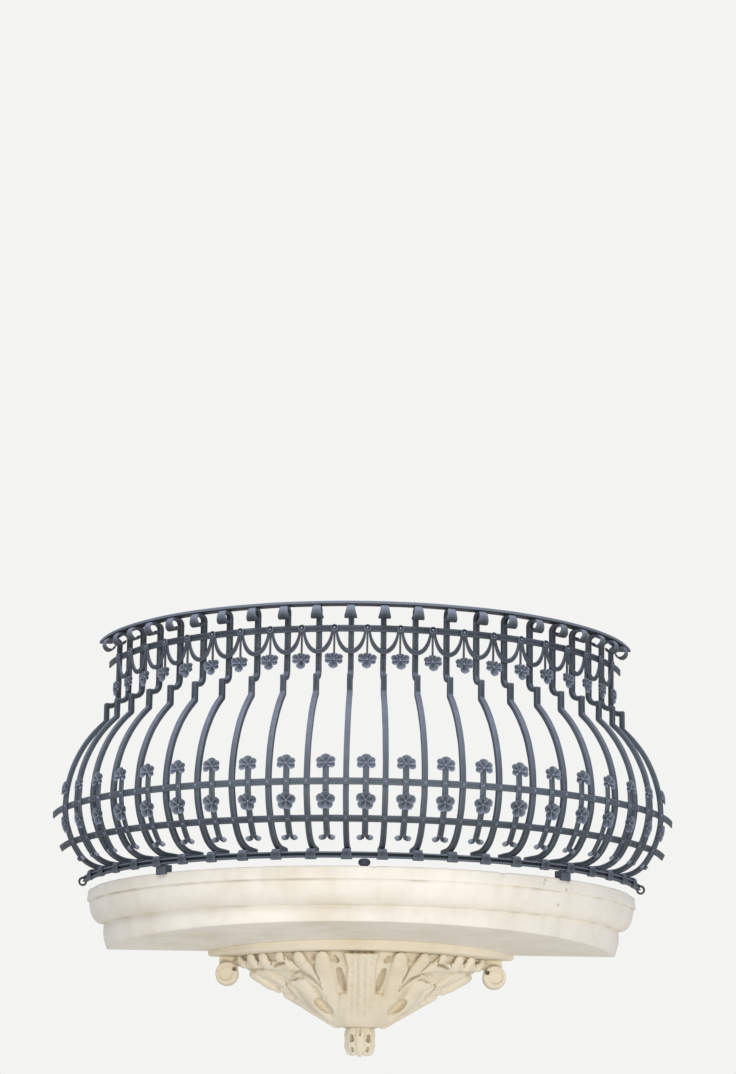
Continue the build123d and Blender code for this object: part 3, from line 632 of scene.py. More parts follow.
def petal(length, half_width, cup, lift):
    """Closed spoon-shaped petal that points up, as rings of (right, up, out), and its light mark: painted
    highlight on the front and rims, painted shade in the crease, none on the back.
    """
    share = np.append(np.linspace(0, 0.88, 10), [0.94, 0.975, 0.993])[:, None]
    v = np.linspace(-1, 1, 9)
    close = np.sqrt(np.clip(1 - (np.clip(share - 0.60, 0, 1) / 0.40) ** 2, 0.0, 1))
    wide = (0.42 + 0.58 * smooth(0.0, 0.60, share)) * close
    up = PETAL_ROOT + (length - PETAL_ROOT) * share - 1.2 * share * v**2
    out = lift * share**1.5 + cup * wide * np.abs(v) ** 2.4
    out = out + 0.5 * cup * smooth(0.78, 1.0, share) * (1 - v**2)
    out = out - PETAL_CREASE * bell(v, 0, 0.25) * np.sin(math.pi * np.clip(share * 1.05, 0, 1))
    thin = PETAL_THICKNESS * (1 - 0.55 * np.abs(v) ** 3) * (1 - 0.5 * share)
    # Front painted lighter with brighter rims and a darker crease near the root, back left plain: painted
    # light and shade.
    rim_highlight = np.maximum(smooth(0.55, 1.0, np.abs(v)) * share, smooth(0.80, 1.0, share))
    wear_and_light = 0.32 + 0.58 * rim_highlight - 0.45 * bell(v, 0, 0.4) * (1 - smooth(0.3, 0.75, share))
    top = np.stack([half_width * wide * v, up, out], axis=-1)
    under = np.stack([half_width * wide * v, up, out - thin], axis=-1)[:, ::-1]
    return np.concatenate([top, under], axis=1), np.concatenate([wear_and_light, 0 * wear_and_light], axis=1)


def flower(shape, bay, place, kind, draw):
    """Cupped petals round a raised heart: each petal by its turn from upright and its sizes."""
    lean = 5 * draw.uniform(-1, 1)
    for turn, length, half_width, cup, lift in kind:
        size = 1 + 0.03 * draw.uniform(-1, 1)
        rings, wear_and_light = petal(length * size, half_width * size, cup, lift)
        rings = turned(rings, turn + lean + 3 * draw.uniform(-1, 1)) + np.array([0, 0, 1.8])
        shape.tube(standing(facing(rings, *place), bay), wear_and_light)
    heart = [(6.6, -1.0), (6.8, 1.6), (5.4, 2.6), (4.2, 3.0)]
    heart += [(3.9, 4.4), (2.8, 5.9), (1.4, 6.5), (0.2, 6.6)]
    # Heart painted dark round its base and bright on its dome: painted shade and painted highlight.
    wear_and_light = np.tile(np.array([[0, -0.4, -0.7, -0.7, 0.4, 0.9, 1, 1]]).T, 16)
    shape.tube(standing(facing(lathe(heart, 16), *place), bay), wear_and_light)


# Petals of each kind of flower: turn, length, half width, cup and lift
TOP_KIND = (
    (0, 31, 17.0, 6.0, 3.4), (68, 35, 12.5, 5.4, 3.4), (-68, 35, 12.5, 5.4, 3.4),
    (112, 35, 12.5, 5.0, 3.0), (-112, 35, 12.5, 5.0, 3.0),
)
ROSETTE_KIND = (
    (0, 30, 17.0, 5.4, 8.0), (73, 35.5, 15.5, 6.0, 4.0), (-73, 35.5, 15.5, 6.0, 4.0),
    (145, 35.0, 15.5, 6.0, 4.0), (-145, 35.0, 15.5, 6.0, 4.0),
)
PENDANT_KIND = (
    (28, 25, 8.0, 4.2, 3.4), (-28, 25, 8.0, 4.2, 3.4), (72, 35, 11.5, 5.4, 3.4), (-72, 35, 11.5, 5.4, 3.4),
    (106, 33.5, 11.0, 5.4, 3.8), (-106, 33.5, 11.0, 5.4, 3.8), (180, 35, 17.0, 5.6, 4.4),
)


def festoon(shape, bay):
    """Half-round of flat bar hung between two eyes, wider at the bottom."""
    angle = np.radians(np.linspace(180, 360, 41))
    path = np.stack([50.6 * np.cos(angle), 84.0 * np.sin(angle), 0 * angle], axis=1)
    rings = flat_path(path, 9.0 + 7.6 * smooth(10, 84, -path[:, 1]), 7.6, 2.0)
    local = facing(rings, FESTOON_REACH, UPPER_BAND)
    shape.tube(hammered(standing(local, bay), 0.3, 140 + int(2 * bay)))


def pendant(shape, bay, draw):
    """Eye, stem and hanging flower."""
    eye = [(12.2, -5.0), (12.9, 0.6), (12.5, 2.6), (11.2, 3.6), (9.9, 3.2), (8.9, 0.6), (8.0, -1.6)]
    eye += [(5.6, -1.8), (4.8, 1.0), (4.4, 3.6), (3.2, 4.9), (1.6, 5.3), (0.2, 5.4)]
    # Eye ring painted lighter on top, its hollow near black and its boss bright: painted highlight and
    # painted shade.
    wear_and_light = np.array([[0, 0, 0.35, 0.5, 0, -0.9, -1, -1, -0.6, 0.4, 0.8, 0.9, 0.9]]).T
    shape.tube(standing(facing(lathe(eye, 28), EYE_REACH, UPPER_BAND), bay), np.tile(wear_and_light, 28))
    hub = [(4.5, -8.2), (4.5, 0.5)]
    shape.tube(standing(facing(lathe(hub, 12), EYE_REACH, UPPER_BAND), bay))
    foot = UPPER_BAND - PENDANT_DROP
    sides = (EYE_REACH - 7.5, EYE_REACH - 0.6)
    back, front = (line((reach, UPPER_BAND), (reach, foot), 12) for reach in sides)
    shape.tube(hammered(standing(strip(back, front, np.full(12, 7.0), 1.6), bay), 0.25, 170 + bay))
    flower(shape, bay, (EYE_REACH - 3.4, foot), PENDANT_KIND, draw)


# Leaf at the foot of a flower bar: right, up, out, width and thickness
FOOT_LEAF = (
    (5.2, 17, 0, 9.5, 5), (5.8, 10, 0.8, 12, 7), (9, 4.5, 2.4, 16, 9), (15, 3.5, 4.4, 18, 11),
    (21, 5, 6, 17, 11), (25.6, 6.6, 6.8, 12, 8.5), (28.4, 7.6, 7, 5, 4.5),
)


def flower_bar(shape, bay, draw):
    """Flat bar on the belly with two flowers, two rivets and a split foot."""
    top, low = math.degrees(belly_point(TOP_FLOWER)[2]), math.degrees(LOWER_TURN)
    foot = math.degrees(belly_point(STRIP_FOOT + 7)[2])
    front = STRIP_OFFSET + STRIP_THICKNESS
    sides = [
        np.concatenate([arc(UPPER, UPPER_ARC + off, top, 0.4, 10),
                        arc(LOWER, LOWER_ARC + off, -0.4, -low, 24),
                        arc(SWEEP, SWEEP_ARC + off, -low - 1.5, foot, 5)])
        for off in (STRIP_OFFSET, front)
    ]
    rings = strip(*sides, np.full(39, STRIP_WIDTH), 1.6)
    shape.tube(hammered(standing(rings, bay), 0.3, 200 + int(bay)))
    flower(shape, bay, belly_point(TOP_FLOWER, front), TOP_KIND, draw)
    flower(shape, bay, belly_point(sum(BELLY_BANDS) / 2, front), ROSETTE_KIND, draw)
    for level in BELLY_BANDS:
        rivet(shape, bay, level, front)
    path = curve(FOOT_LEAF, 26)
    leaf = flat_path(path, path[:, 3], path[:, 4], 2.4)
    # The leaf is painted lighter towards its raised tip: painted highlight.
    wear_and_light = np.tile(0.7 * smooth(0.3, 0.75, np.linspace(0, 1, 26))[:, None], 16)
    for side in (-1, 1):
        place = belly_point(STRIP_FOOT, STRIP_OFFSET + 3)
        shape.tube(standing(facing(leaf * np.array([side, 1, 1]), *place), bay), wear_and_light)


def ornaments():
    draw = np.random.default_rng(11)
    for place, bays in (("s_left", range(-1, -11, -1)), ("s_right", range(1, 11)), ("_middle", [0])):
        bows, drops, bars = Shape(), Shape(), Shape()
        for bay in bays:
            if bay:
                festoon(bows, bay - math.copysign(0.5, bay))
            pendant(drops, bay, draw)
            flower_bar(bars, bay, draw)
        for name, shape in (("festoon", bows), ("pendant", drops), ("flower_bar", bars)):
            if shape.count:
                ironwork("forged", name + place, shape)


# Masonry


def soffit(projection):
    """Height of the slab's underside, which falls a little to the wall."""
    return 36.0 / 738.0 * projection - 220.0


def moulded_profile():
    """Edge of the slab from its top corner down to the lower band: reach and height."""
    fillet = [(5, 0), (2.2, -0.6), (0.6, -2.2), (0, -5), *((0, h) for h in np.linspace(-9, -41, 9))]
    fillet += [(0.8, -43.6), (2.6, -45), (6.5, -45.2), (8, -46)]
    ovolo = arc((0, 0), 1, 2, 88, 26) * np.array([50, -83]) + np.array([978, -45])
    step = [(976.5, -128.4), (973.6, -128.6), (972.6, -130.5)]
    return [(SLAB_RADIUS - back, height) for back, height in fillet] + ovolo.tolist() + step


# Damage on the slab's right: degrees from the front, height and size
SPOTS = ((38.0, -13, 5), (37.7, -26, 4), (44.3, -8, 6), (43.8, -38, 5), (42.4, -92, 5))


def slab():
    """Dense half-round slab: top, moulded edge, lower band and sloping underside."""
    share = np.linspace(-1, 1, 560)
    wall, foot, band = AXIS + 0.01, -131, 973
    top = (wall, 300, 420, 560, 700, 800, 880, 940, 980, 1005, 1018, 1026)
    rows = [(reach, 0, 0) for reach in top]
    rows += [(reach, height, 0) for reach, height in moulded_profile()]
    rows += [(band, foot, down) for down in np.linspace(0.03, 1, 16)]
    rows += [(reach, 0, 2) for reach in (955, 948, 930, 890, 830, 750, 650, 540, 430, 320, wall)]
    columns = []
    for reach, height, down in rows:
        on_band = 0 < down <= 1
        turn = share * math.acos(AXIS / (reach - 12 * down * on_band))
        high = height + 0 * share
        if on_band:
            high = foot + (soffit(960 * np.cos(turn) - AXIS) - foot) * down
            fall = (-128 - high) / 92
            reach = band - 15 * fall + 7 * np.sin(math.pi * np.clip(fall, 0, 1)) - 1.5 * (down > 0.97)
        elif down:
            high = soffit(reach * np.cos(turn) - AXIS)
        y = np.minimum(AXIS - reach * np.cos(turn), 0)
        columns.append(np.stack([reach * np.sin(turn), y, SLAB_TOP + high], axis=-1))
    rings = np.stack(columns, axis=1)
    flat = rings.reshape(-1, 3)
    from_axis = flat[:, :2] - np.array([0, AXIS])
    reach, level = np.linalg.norm(from_axis, axis=1), flat[:, 2] - SLAB_TOP
    edge = smooth(930, 1000, reach)
    wear_and_light = 0.9 * noise(flat, 46, 5) + 0.5 * noise(flat, 15, 6) + 0.25 * noise(flat, 6, 7) - 1.1
    chip = smooth(0.45, 0.8, noise(flat, 30, 8)) * smooth(-22, 0, level) * smooth(1000, 1030, reach)
    corner = smooth(0.93, 0.99, np.abs(flat[:, 0]) / 1012.0) * smooth(-40, 0, level)
    push = edge * (wear_and_light - 3.5 * chip - 3 * corner * (1 + noise(flat, 22, 9)))
    flat[:, :2] += from_axis / reach[:, None] * push[:, None]
    flat[:, 2] -= edge * (2.2 * chip + 2 * corner * (1 + noise(flat, 18, 10)))
    flat[:, 1] = np.minimum(flat[:, 1], 0)
    rings = flat.reshape(rings.shape)
    rings[[0, -1], :, 1] = 0
    shape = Shape()
    shape.tube(rings)
    level = flat[:, 2] - SLAB_TOP
    # The creases under the fillet and above the lower band are painted darker in patches: painted shade.
    # The damage spots below are real marks.
    crease_shade = bell(level, -46.5, 2.6) + bell(level, -129.5, 2.6)
    shade_and_dirt = 0.7 * edge * crease_shade * smooth(-0.2, 0.9, noise(flat, 60, 12))
    turn = np.degrees(np.arctan2(flat[:, 0], -from_axis[:, 1]))
    for at, height, size in SPOTS:
        away = np.hypot((turn - at) * 18.1, level - height)
        shade_and_dirt = np.maximum(shade_and_dirt, 1.3 * edge * bell(away, 0, size))
    stonework("moulded_slab", "balcony_slab", shape, MASONRY, 50, np.append(shade_and_dirt, [0, 0]))


def bed_mould():
    """Bowed band between the slab's underside and the corbel."""
    share, axis, shoulder = np.linspace(-1, 1, 300), 294.0, -228
    wall = axis + 0.01
    rows = [(reach, -240, 0) for reach in (wall, 380, 470, 540, 580, 605, 617)]
    rows += [(reach, height, 0) for reach, height in arc((622, shoulder), 12, -82, -8, 7)]
    rows += [(634, shoulder, rise) for rise in (0.02, 0.12, 0.35, 0.6, 0.85, 0.97)]
    rows += [(reach, shoulder, 1) for reach in (631, 622, 600, 540, 460, 380, wall)]
    columns = []
    for reach, height, rise in rows:
        turn = share * math.acos(axis / reach)
        out = np.maximum(reach * np.cos(turn) - axis, 0)
        high = height + (soffit(out) - height) * rise
        columns.append(np.stack([reach * np.sin(turn), -out, SLAB_TOP + high], axis=-1))
    rings = np.stack(columns, axis=1)
    flat = rings.reshape(-1, 3)
    edge = smooth(600, 632, np.hypot(flat[:, 0], flat[:, 1] - axis))
    wear_and_light = 1.1 * noise(flat, 40, 331) + 0.6 * noise(flat, 13, 332) - 1.0
    flat[:, 1] = np.minimum(flat[:, 1] - edge * wear_and_light * smooth(0, -12, flat[:, 1]), 0)
    shape = Shape()
    shape.tube(flat.reshape(rings.shape))
    stonework("run_bed_mould", "corbel_bed_mould", shape, CARVED, 50)


# Carving


# Plan of the corbel: depth, half width and projection
STATIONS = np.array([
    (0, 515, 318), (30, 462, 297), (63, 410, 268), (119, 325, 221),
    (190, 205, 165), (231, 125, 124), (256, 66, 96),
], float)


def bowed(spots):
    """Distance outside the corbel's plain bowed face at (x, depth, projection)."""
    x, depth, out = np.moveaxis(spots, -1, 0)
    half, deep = (np.interp(depth, STATIONS[:, 0], STATIONS[:, k]) for k in (1, 2))
    radius = (half**2 + deep**2) / (2 * deep)
    slope = 0.87 + 0.9 * np.clip(np.abs(x) / half, 0, 1)
    return (np.hypot(x, out - deep + radius) - radius) / np.sqrt(1 + slope**2)


def bowed_normal(spots):
    steps = np.eye(3) * 1.5
    return unit(np.stack([bowed(spots + step) - bowed(spots - step) for step in steps], axis=-1))


def blended(first, second, radius):
    share = np.clip(0.5 + 0.5 * (first - second) / radius, 0, 1)
    return first * (1 - share) + second * share - radius * share * (1 - share)


def oval(spots, middle, sizes):
    """How far spots lie outside an oval, as a share of its sizes."""
    return np.linalg.norm((spots - middle) / sizes, axis=-1) - 1


def along_axis(axis, start, end):
    """Slices that cut a grid along one axis only."""
    return tuple(slice(start, end) if k == axis else slice(None) for k in range(3))


class Block:
    """Signed distances on a grid of (x, depth, projection), one half of a mirrored carving."""

    def __init__(self, size, cell):
        self.cell = cell
        self.axes = [np.arange(-2.0 * cell * (k > 0), size[k] + 2 * cell, cell) for k in range(3)]
        self.value = np.full([len(axis) for axis in self.axes], 60.0)

    def window(self, low=(-99, -99, -99), high=(999, 999, 999)):
        cuts = tuple(slice(*np.searchsorted(axis, (a, b))) for axis, a, b in zip(self.axes, low, high))
        spots = np.meshgrid(*(axis[cut] for axis, cut in zip(self.axes, cuts)), indexing="ij")
        return cuts, np.stack(spots, axis=-1)

    def join(self, cuts, distance, radius):
        self.value[cuts] = blended(self.value[cuts], distance, radius)

    def cut(self, cuts, distance, radius):
        self.value[cuts] = -blended(-self.value[cuts], distance, radius)

    def trim(self):
        """Cut off what stands above the top or behind the wall."""
        self.value = np.maximum(self.value, -self.window()[1][..., 1:].min(-1))

    def roll(self, rows, lift, normal=bowed_normal):
        """Distance to a flattened roll: rows of x, depth, projection, half width and thickness."""
        path = curve(rows, 5 * len(rows))
        spot, wide, thick = path[:, :3].copy(), path[:, 3], path[:, 4]
        along = unit(np.gradient(spot, axis=0))
        out = normal(spot)
        spot += out * (lift - thick)[:, None]
        out = unit(out - (out * along).sum(1)[:, None] * along)
        side = np.cross(along, out)
        margin = path[:, 3:].max() + 14
        cuts, spots = self.window(spot.min(0) - margin, spot.max(0) + margin)
        near = np.full(spots.shape[:-1], 200.0)
        for k in range(len(path)):
            gap = spots - spot[k]
            a, b, c = gap @ along[k] / wide[k], gap @ side[k] / wide[k], gap @ out[k] / thick[k]
            span = np.sqrt(a * a + b * b + c * c)
            steep = np.sqrt((a * a + b * b) / wide[k] ** 2 + (c / thick[k]) ** 2) + 1e-6
            near = np.minimum(near, span * (span - 1) / steep)
        return cuts, near

    def skin(self, seed, rough):
        """Closed mesh of the mirrored block: points, quads and how hollow each point lies."""
        axes = [np.concatenate([-self.axes[0][:0:-1], self.axes[0]]), *self.axes[1:]]
        value = np.concatenate([self.value[:0:-1], self.value])
        value[[0, -1]] = value[:, [0, -1]] = value[:, :, [0, -1]] = 20.0
        close = np.argwhere(np.abs(value) < 9)
        spots = np.stack([axis[spot] for axis, spot in zip(axes, close.T)], axis=-1)
        keep = smooth(0, 8, spots[:, 1]) * smooth(0, 8, spots[:, 2])
        push = rough * (noise(spots, 34, seed) + 0.45 * noise(spots, 11, seed + 1))
        value[tuple(close.T)] += push * keep
        inside = value < 0
        total, count, rings = np.zeros((*value.shape, 3)), np.zeros(value.shape), []
        steps = np.eye(3, dtype=int)
        for axis in range(3):
            crossed = np.argwhere(inside[along_axis(axis, 0, -1)] != inside[along_axis(axis, 1, None)])
            near, far = value[tuple(crossed.T)], value[tuple((crossed + steps[axis]).T)]
            place = crossed + steps[axis] * (near / (near - far))[:, None]
            first, second = np.delete(steps, axis, 0)
            cells = [tuple((crossed - i * first - j * second).T) for i in (0, 1) for j in (0, 1)]
            for cell in cells:
                np.add.at(total, cell, place)
                np.add.at(count, cell, 1)
            rings.append([cells[k] for k in (0, 2, 3, 1)])
        used = count > 0
        index = np.cumsum(used).reshape(used.shape) - 1
        points = total[used] / count[used][:, None]
        quads = np.concatenate([np.stack([index[cell] for cell in ring], axis=-1) for ring in rings])
        soft, width = np.clip(value, -14, 14), 7
        for axis in range(3):
            total = np.cumsum(soft, axis=axis)
            mean = (total[along_axis(axis, width, None)] - total[along_axis(axis, 0, -width)]) / width
            soft = np.pad(mean, [(4, 3) if k == axis else (0, 0) for k in range(3)], mode="edge")
        hollow = smooth(1.1, 5.2, -soft[tuple(np.rint(points).astype(int).T)])
        return points * self.cell + np.array([axis[0] for axis in axes]), quads, hollow

    def stand(self, name, node, top, seed, rough):
        points, quads, hollow = self.skin(seed, rough)
        shape = Shape()
        shape.add(np.stack([points[:, 0], -points[:, 2], top - points[:, 1]], axis=-1), quads.tolist())
        # The hollow mark darkens the carving's recesses: painted shade with dirt.
        stonework(name, node, shape, CARVED, 60, hollow)


# Carving of the corbel's half, first along its lower edge and then on its face:
# lift, then rows of x, depth, projection, half width and half thickness
FRINGE = (
    (13, [(84, 245, 28, 14, 14), (128, 219, 36, 20, 18), (164, 198, 44, 28, 22), (188, 184, 46, 29, 22),
          (214, 168, 44, 24, 18), (240, 154, 40, 18, 14), (268, 138, 34, 12, 12)]),
    (12, [(300, 120, 30, 11, 10), (322, 108, 36, 15, 12), (338, 99, 36, 13, 10)]),
    (13, [(330, 104, 40, 13, 12), (352, 92, 44, 20, 15), (374, 80, 44, 22, 15), (390, 71, 40, 18, 13)]),
)
LEAVES = (
    (5, [(77, 245, 69, 20, 12), (133, 210, 80, 24, 12), (193, 168, 93, 28, 13), (253, 127, 99, 28, 13),
         (301, 99, 93, 24, 12), (336, 80, 84, 19, 11)]),
    (6, [(318, 88, 92, 17, 10), (350, 74, 80, 18, 10), (371, 64, 68, 15, 9)]),
    (7, [(300, 94, 104, 15, 9), (328, 72, 103, 15, 9), (352, 58, 92, 13, 9)]),
    (5, [(262, 132, 84, 14, 9), (284, 128, 74, 14, 9)]),
    (4, [(214, 166, 72, 14, 9), (232, 166, 60, 13, 9)]),
    (5, [(105, 227, 76, 20, 12), (173, 188, 82, 24, 12), (221, 147, 100, 26, 12), (250, 122, 112, 20, 11)]),
    (14, [(112, 222, 82, 18, 12), (153, 186, 105, 27, 15), (185, 149, 130, 34, 18), (204, 122, 150, 31, 16),
          (213, 106, 164, 22, 12)]),
    (15, [(192, 130, 145, 20, 12), (222, 112, 152, 19, 11), (240, 104, 150, 14, 9)]),
    (8, [(90, 237, 73, 18, 12), (100, 195, 135, 25, 15), (116, 150, 173, 35, 17), (130, 104, 210, 38, 17),
         (136, 68, 242, 34, 16), (137, 44, 264, 28, 13)]),
    (7, [(64, 152, 187, 12, 9), (66, 190, 154, 22, 12), (66, 225, 113, 26, 13), (62, 248, 73, 26, 13)]),
    (10, [(136, 56, 252, 27, 14), (138, 34, 270, 28, 13), (139, 21, 282, 23, 10)]),
    (8, [(128, 138, 180, 22, 13), (163, 84, 216, 28, 15), (194, 56, 232, 26, 13), (212, 40, 240, 22, 11)]),
    (10, [(204, 48, 236, 22, 13), (222, 30, 240, 25, 13), (226, 18, 246, 20, 10)]),
    (4, [(175, 106, 188, 20, 12), (214, 66, 213, 23, 12), (262, 52, 202, 22, 12), (315, 50, 161, 21, 12),
         (364, 43, 124, 18, 11), (414, 38, 74, 16, 11), (460, 30, 28, 14, 11)]),
    (8, [(262, 50, 202, 18, 12), (284, 34, 198, 25, 13), (293, 20, 204, 23, 11)]),
    (6, [(346, 46, 140, 16, 10), (356, 28, 152, 21, 12), (358, 17, 158, 18, 10)]),
    (6, [(388, 42, 104, 15, 10), (400, 26, 110, 20, 12), (402, 16, 114, 17, 10)]),
    (6, [(432, 38, 60, 14, 11), (443, 26, 52, 18, 12), (446, 17, 50, 16, 10)]),
)

# What is cut into them: blend, lift, then the same rows
HOLLOWS = (
    (4, 14, [(142, 126, 190, 5, 10), (158, 108, 197, 8, 18), (187, 83, 204, 11, 24), (221, 70, 200, 13, 26),
             (247, 76, 178, 12, 24), (266, 94, 145, 9, 16)]),
    (4, 16, [(82, 70, 250, 10, 26), (71, 106, 224, 14, 30), (60, 138, 201, 10, 24)]),
    (3, 14, [(94, 42, 277, 10, 24), (103, 32, 277, 10, 24)]),
    (3, 14, [(182, 38, 255, 9, 24), (191, 26, 259, 11, 24)]),
    (3, 12, [(366, 60, 104, 7, 20), (380, 48, 92, 10, 22)]),
    (3, 12, [(317, 50, 162, 5, 16), (297, 41, 188, 7, 22), (277, 38, 206, 5, 16)]),
    (3, 7, [(184, 40, 255, 5, 14), (168, 66, 236, 4.5, 11), (150, 100, 212, 4, 9), (132, 138, 176, 3.5, 7),
            (110, 194, 128, 3, 6)]),
    (3, 8, [(258, 10, 226, 6, 18), (246, 32, 224, 6, 16), (224, 52, 218, 5, 12), (204, 66, 212, 4, 7)]),
    (3, 6, [(272, 112, 112, 6, 14), (224, 156, 84, 5, 11), (173, 197, 62, 4, 8), (118, 229, 58, 3, 6)]),
    (3, 8, [(362, 52, 108, 5, 14), (318, 73, 121, 5, 12), (272, 106, 117, 4, 10)]),
    (3, 6, [(424, 8, 84, 4, 14), (420, 36, 76, 3.5, 10)]),
    (3, 6, [(380, 8, 140, 4, 14), (376, 38, 122, 3.5, 10)]),
    (3, 6, [(329, 8, 184, 5, 16), (326, 42, 160, 4, 11)]),
    (3, 7, [(279, 6, 214, 3.5, 14), (276, 26, 210, 3, 8)]),
    (3, 7, [(304, 6, 192, 3.5, 14), (300, 26, 190, 3, 8)]),
    (3, 3, [(137, 60, 248, 3, 7), (132, 100, 214, 3, 7), (120, 146, 176, 2.5, 5)]),
    (3, 4, [(350, 72, 84, 3, 7), (300, 100, 96, 3, 7), (230, 146, 98, 2.5, 5)]),
)


def lower_eye(block):
    """Broad oval hollow low on the side leaf, sunk along the view from the street."""
    cuts, spots = block.window((60, 120, 40), (210, 250, 200))
    away = spots - np.array([132, 186, 128])
    away[..., 1] -= 0.083 * away[..., 2]
    block.cut(cuts, oval(turned(away, 41), 0, (43, 19, 38)) * 19, 5)


def corbel_volute(block):
    """Rolled end beside the wall: a thick disc with a spiral sunk in its face and one drilled hole."""
    middle_x, middle_depth = 490.0, 66.0
    cuts, spots = block.window((430, -10, -10), (560, 120, 96))
    x, depth, out = np.moveaxis(spots, -1, 0)
    from_middle = np.hypot(x - middle_x, depth - middle_depth)
    turn = np.arctan2(middle_depth - depth, middle_x - x)
    face = 68 + 5 * bell(from_middle, 34, 9)
    disc = -blended(-(from_middle - 42 - 1.5 * np.cos(turn)), -(np.abs(out - face / 2) - face / 2), 9)
    block.join(cuts, np.maximum(np.maximum(np.abs(x - 484) - 34, depth - 64), out - 22), 6)
    block.join(cuts, disc, 5)
    block.cut(cuts, oval(spots, (493, 68, 76), (21, 21, 13)) * 13, 4)
    for step in range(46):
        angle, size = math.radians(38 + 12.5 * step), 6.4 - 0.06 * step
        reach = 31 * math.exp(-0.026 * step)
        spot = (middle_x - reach * math.cos(angle), middle_depth - reach * math.sin(angle), 72)
        block.cut(cuts, oval(spots, spot, (size, size, 1.8 * size)) * size, 2.5)
    block.cut(cuts, np.maximum(np.hypot(x - 461, depth - 49) - 8.5, 20 - out), 3)


def corbel():
    block = Block((556, 262, 344), 3.5)
    cuts, spots = block.window()
    x, depth, _ = np.moveaxis(spots, -1, 0)
    plain = bowed(spots)
    block.join(cuts, np.maximum(plain + 9 + 14 * (1 - smooth(10, 46, depth)), x - 452), 1)
    for table, radius in ((FRINGE, 16), (LEAVES, 8)):
        for lift, rows in table:
            block.join(*block.roll(rows, lift), radius)
    for radius, lift, rows in HOLLOWS:
        block.cut(*block.roll(rows, lift), radius)
    lower_eye(block)
    half = np.interp(depth, (0, 20, 60, 150, 256), (67, 60, 49, 51, 54))
    flutes = 4.5 * bell(x, 13, 5.5) + 4 * bell(x, 36, 7)
    raised = 9 - 2.5 * smooth(140, 200, depth) - flutes * (1 - 0.75 * smooth(150, 240, depth))
    raised = raised + 3 * smooth(150, 20, depth) * smooth(30, 60, x) - 24 * (1 - smooth(5, 13, depth))
    block.join(cuts, -blended(-(plain - raised), -(x - half) * 0.9, 8), 11)
    corbel_volute(block)
    block.cut(cuts, CORBEL_DEPTH - depth, 6)
    block.trim()
    block.stand("carved_corbel", "corbel", CORBEL_TOP, 301, 1.2)


def finial():
    """Bud of five hanging leaves, each drilled with a large and a small eye."""
    block = Block((62, 112, 108), 2.2)
    levels, sizes = (0, 10, 30, 58, 76, 88, 97, 103), (47, 54, 58, 57, 54, 48, 36, 18)
    widest = sizes[3]

    def plain(spots):
        way = (spots - np.array([0, 0, BUD_AXIS])) * np.array([1, 0, 1])
        return way / np.maximum(np.linalg.norm(way, axis=-1), 1)[:, None]

    def upright(angle, reach, level, wide, deep, lift):
        """Roll that runs down the bud at an angle from its front."""
        turn = math.radians(angle)
        x, out = reach * math.sin(turn), BUD_AXIS + reach * math.cos(turn)
        rows = np.stack(np.broadcast_arrays(x, level, out, wide, deep), axis=-1)
        return block.roll(rows, lift, plain)

    cuts, spots = block.window()
    x, depth, out = np.moveaxis(spots, -1, 0)
    around = np.hypot(x, out - BUD_AXIS) - np.interp(depth, levels, sizes)
    block.join(cuts, np.maximum(around + 12, depth - 92), 1)
    for angle, foot in ((0, 96), (42, 92), (84, 88), (126, 88)):
        level = np.linspace(-4, foot, 7)
        wide = np.interp(level, (-4, 30, foot - 12, foot), (15, 20, 17, 9))
        block.join(*upright(angle, np.interp(level, levels, sizes) - 2, level, wide, 13, 1.5), 3)
    ends = np.array([-1, 0, 1])
    grooves = (21, 30, 3.5, 30, 7), (63, 30, 3.5, 30, 7), (0, 14, 4, 16, 9)
    eyes = (36, 40, 9.5, 7, 24), (36, 79, 7.0, 3, 18), (86, 44, 9, 7, 20)
    for angle, level, wide, tall, deep in grooves:
        block.cut(*upright(angle, widest, level + tall * ends, wide, deep, 4), 3)
    for angle, level, wide, tall, deep in eyes:
        reach = np.interp(level, levels, sizes)
        block.cut(*upright(angle, reach, level + tall * ends, wide, deep, 8), 2.5)
    block.trim()
    block.stand("carved_finial", "corbel_finial", CORBEL_TOP - CORBEL_DEPTH, 311, 0.8)


# Stage


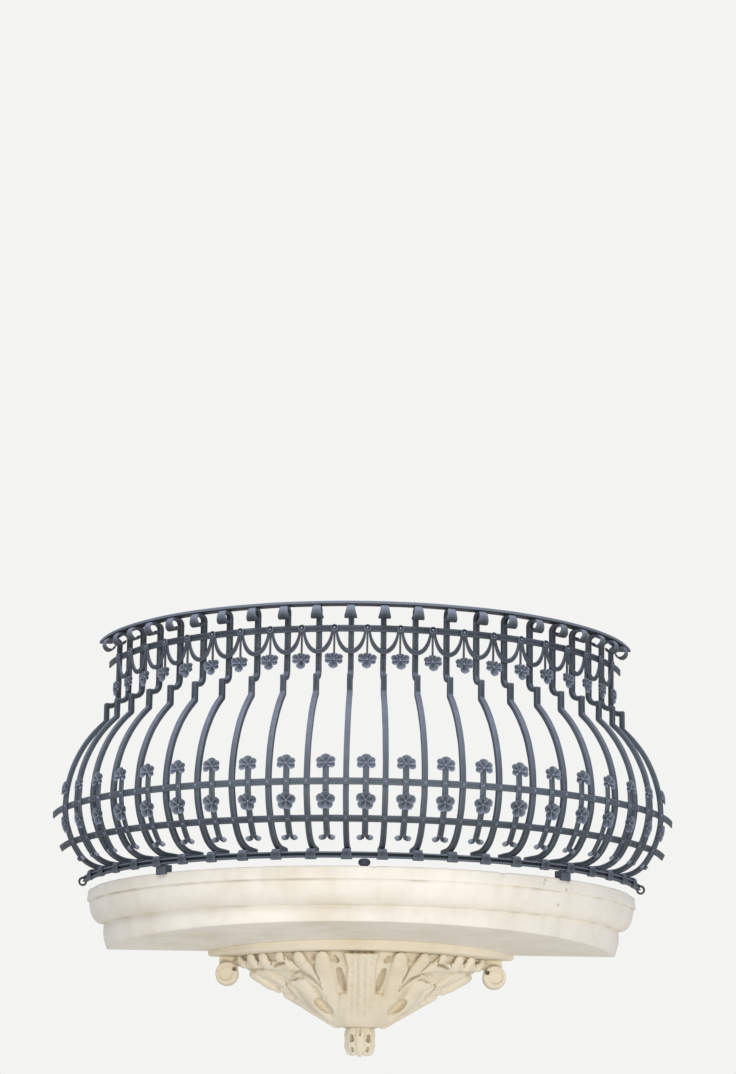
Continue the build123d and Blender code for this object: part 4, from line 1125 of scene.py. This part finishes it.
def stage():
    floor = bpy.data.meshes.new("floor")
    corners = [(-70, -70, -12), (70, -70, -12), (70, 70, -12), (-70, 70, -12)]
    floor.from_pydata(corners, [], [(0, 1, 2, 3)])
    paint = bpy.data.materials.new("floor_paint")
    paint.use_nodes = True
    shader = paint.node_tree.nodes["Principled BSDF"].inputs
    shader["Base Color"].default_value = (0.88, 0.83, 0.74, 1)
    shader["Roughness"].default_value = 0.9
    floor.materials.append(paint)
    put("floor", floor)


def sky():
    """Even light from all round, and a pale ground behind the part."""
    world = bpy.data.worlds.new("studio")
    bpy.context.scene.world = world
    world.use_nodes = True
    tree = world.node_tree
    tree.nodes.clear()
    kinds = ("OutputWorld", "LightPath", "Background", "Background", "MixShader")
    out, path, light, seen, mix = (tree.nodes.new("ShaderNode" + kind) for kind in kinds)
    light.inputs["Color"].default_value = (0.84, 0.90, 1.0, 1)
    light.inputs["Strength"].default_value = 0.75
    seen.inputs["Color"].default_value = (0.90, 0.90, 0.89, 1)
    for number, source in enumerate((path.outputs["Is Camera Ray"], light.outputs[0], seen.outputs[0])):
        tree.links.new(source, mix.inputs[number])
    tree.links.new(mix.outputs[0], out.inputs["Surface"])


def lamp(name, place, target, size, power, colour):
    data = bpy.data.lights.new(name, "AREA")
    data.shape = "RECTANGLE"
    data.size, data.size_y = size
    data.energy, data.color = power, colour
    made = put(name, data)
    made.location = place
    made.rotation_euler = (Vector(target) - Vector(place)).to_track_quat("-Z", "Y").to_euler()


def camera():
    """Camera of the photo, fitted to the slab and the rails."""
    data = bpy.data.cameras.new("camera")
    data.sensor_fit = "VERTICAL"
    data.sensor_height = 36.0
    data.lens = 3118.9 / 1074 * data.sensor_height
    data.clip_end = 200
    made = put("camera", data)
    made.matrix_world = Matrix.Translation((-0.103, -11.504, -1.2417))
    for degrees, axis in ((-0.534, "Z"), (90 + 13.223, "X"), (0.818, "Z")):
        made.matrix_world = made.matrix_world @ Matrix.Rotation(math.radians(degrees), 4, axis)
    bpy.context.scene.camera = made


camera()
stage()
sky()
lamp("key", (-2.2, -4.4, 4.6), (0, -0.6, 0.1), (3.4, 2.6), 108, (1.0, 0.97, 0.93))
lamp("front", (1.5, -7.6, -2.4), (0, 0, -0.1), (6.0, 1.6), 266, (1.0, 0.95, 0.87))
bpy.context.scene.view_settings.view_transform = "Standard"
balusters()
rails()
bottom_ring()
feet()
ornaments()
slab()
bed_mould()
corbel()
finial()
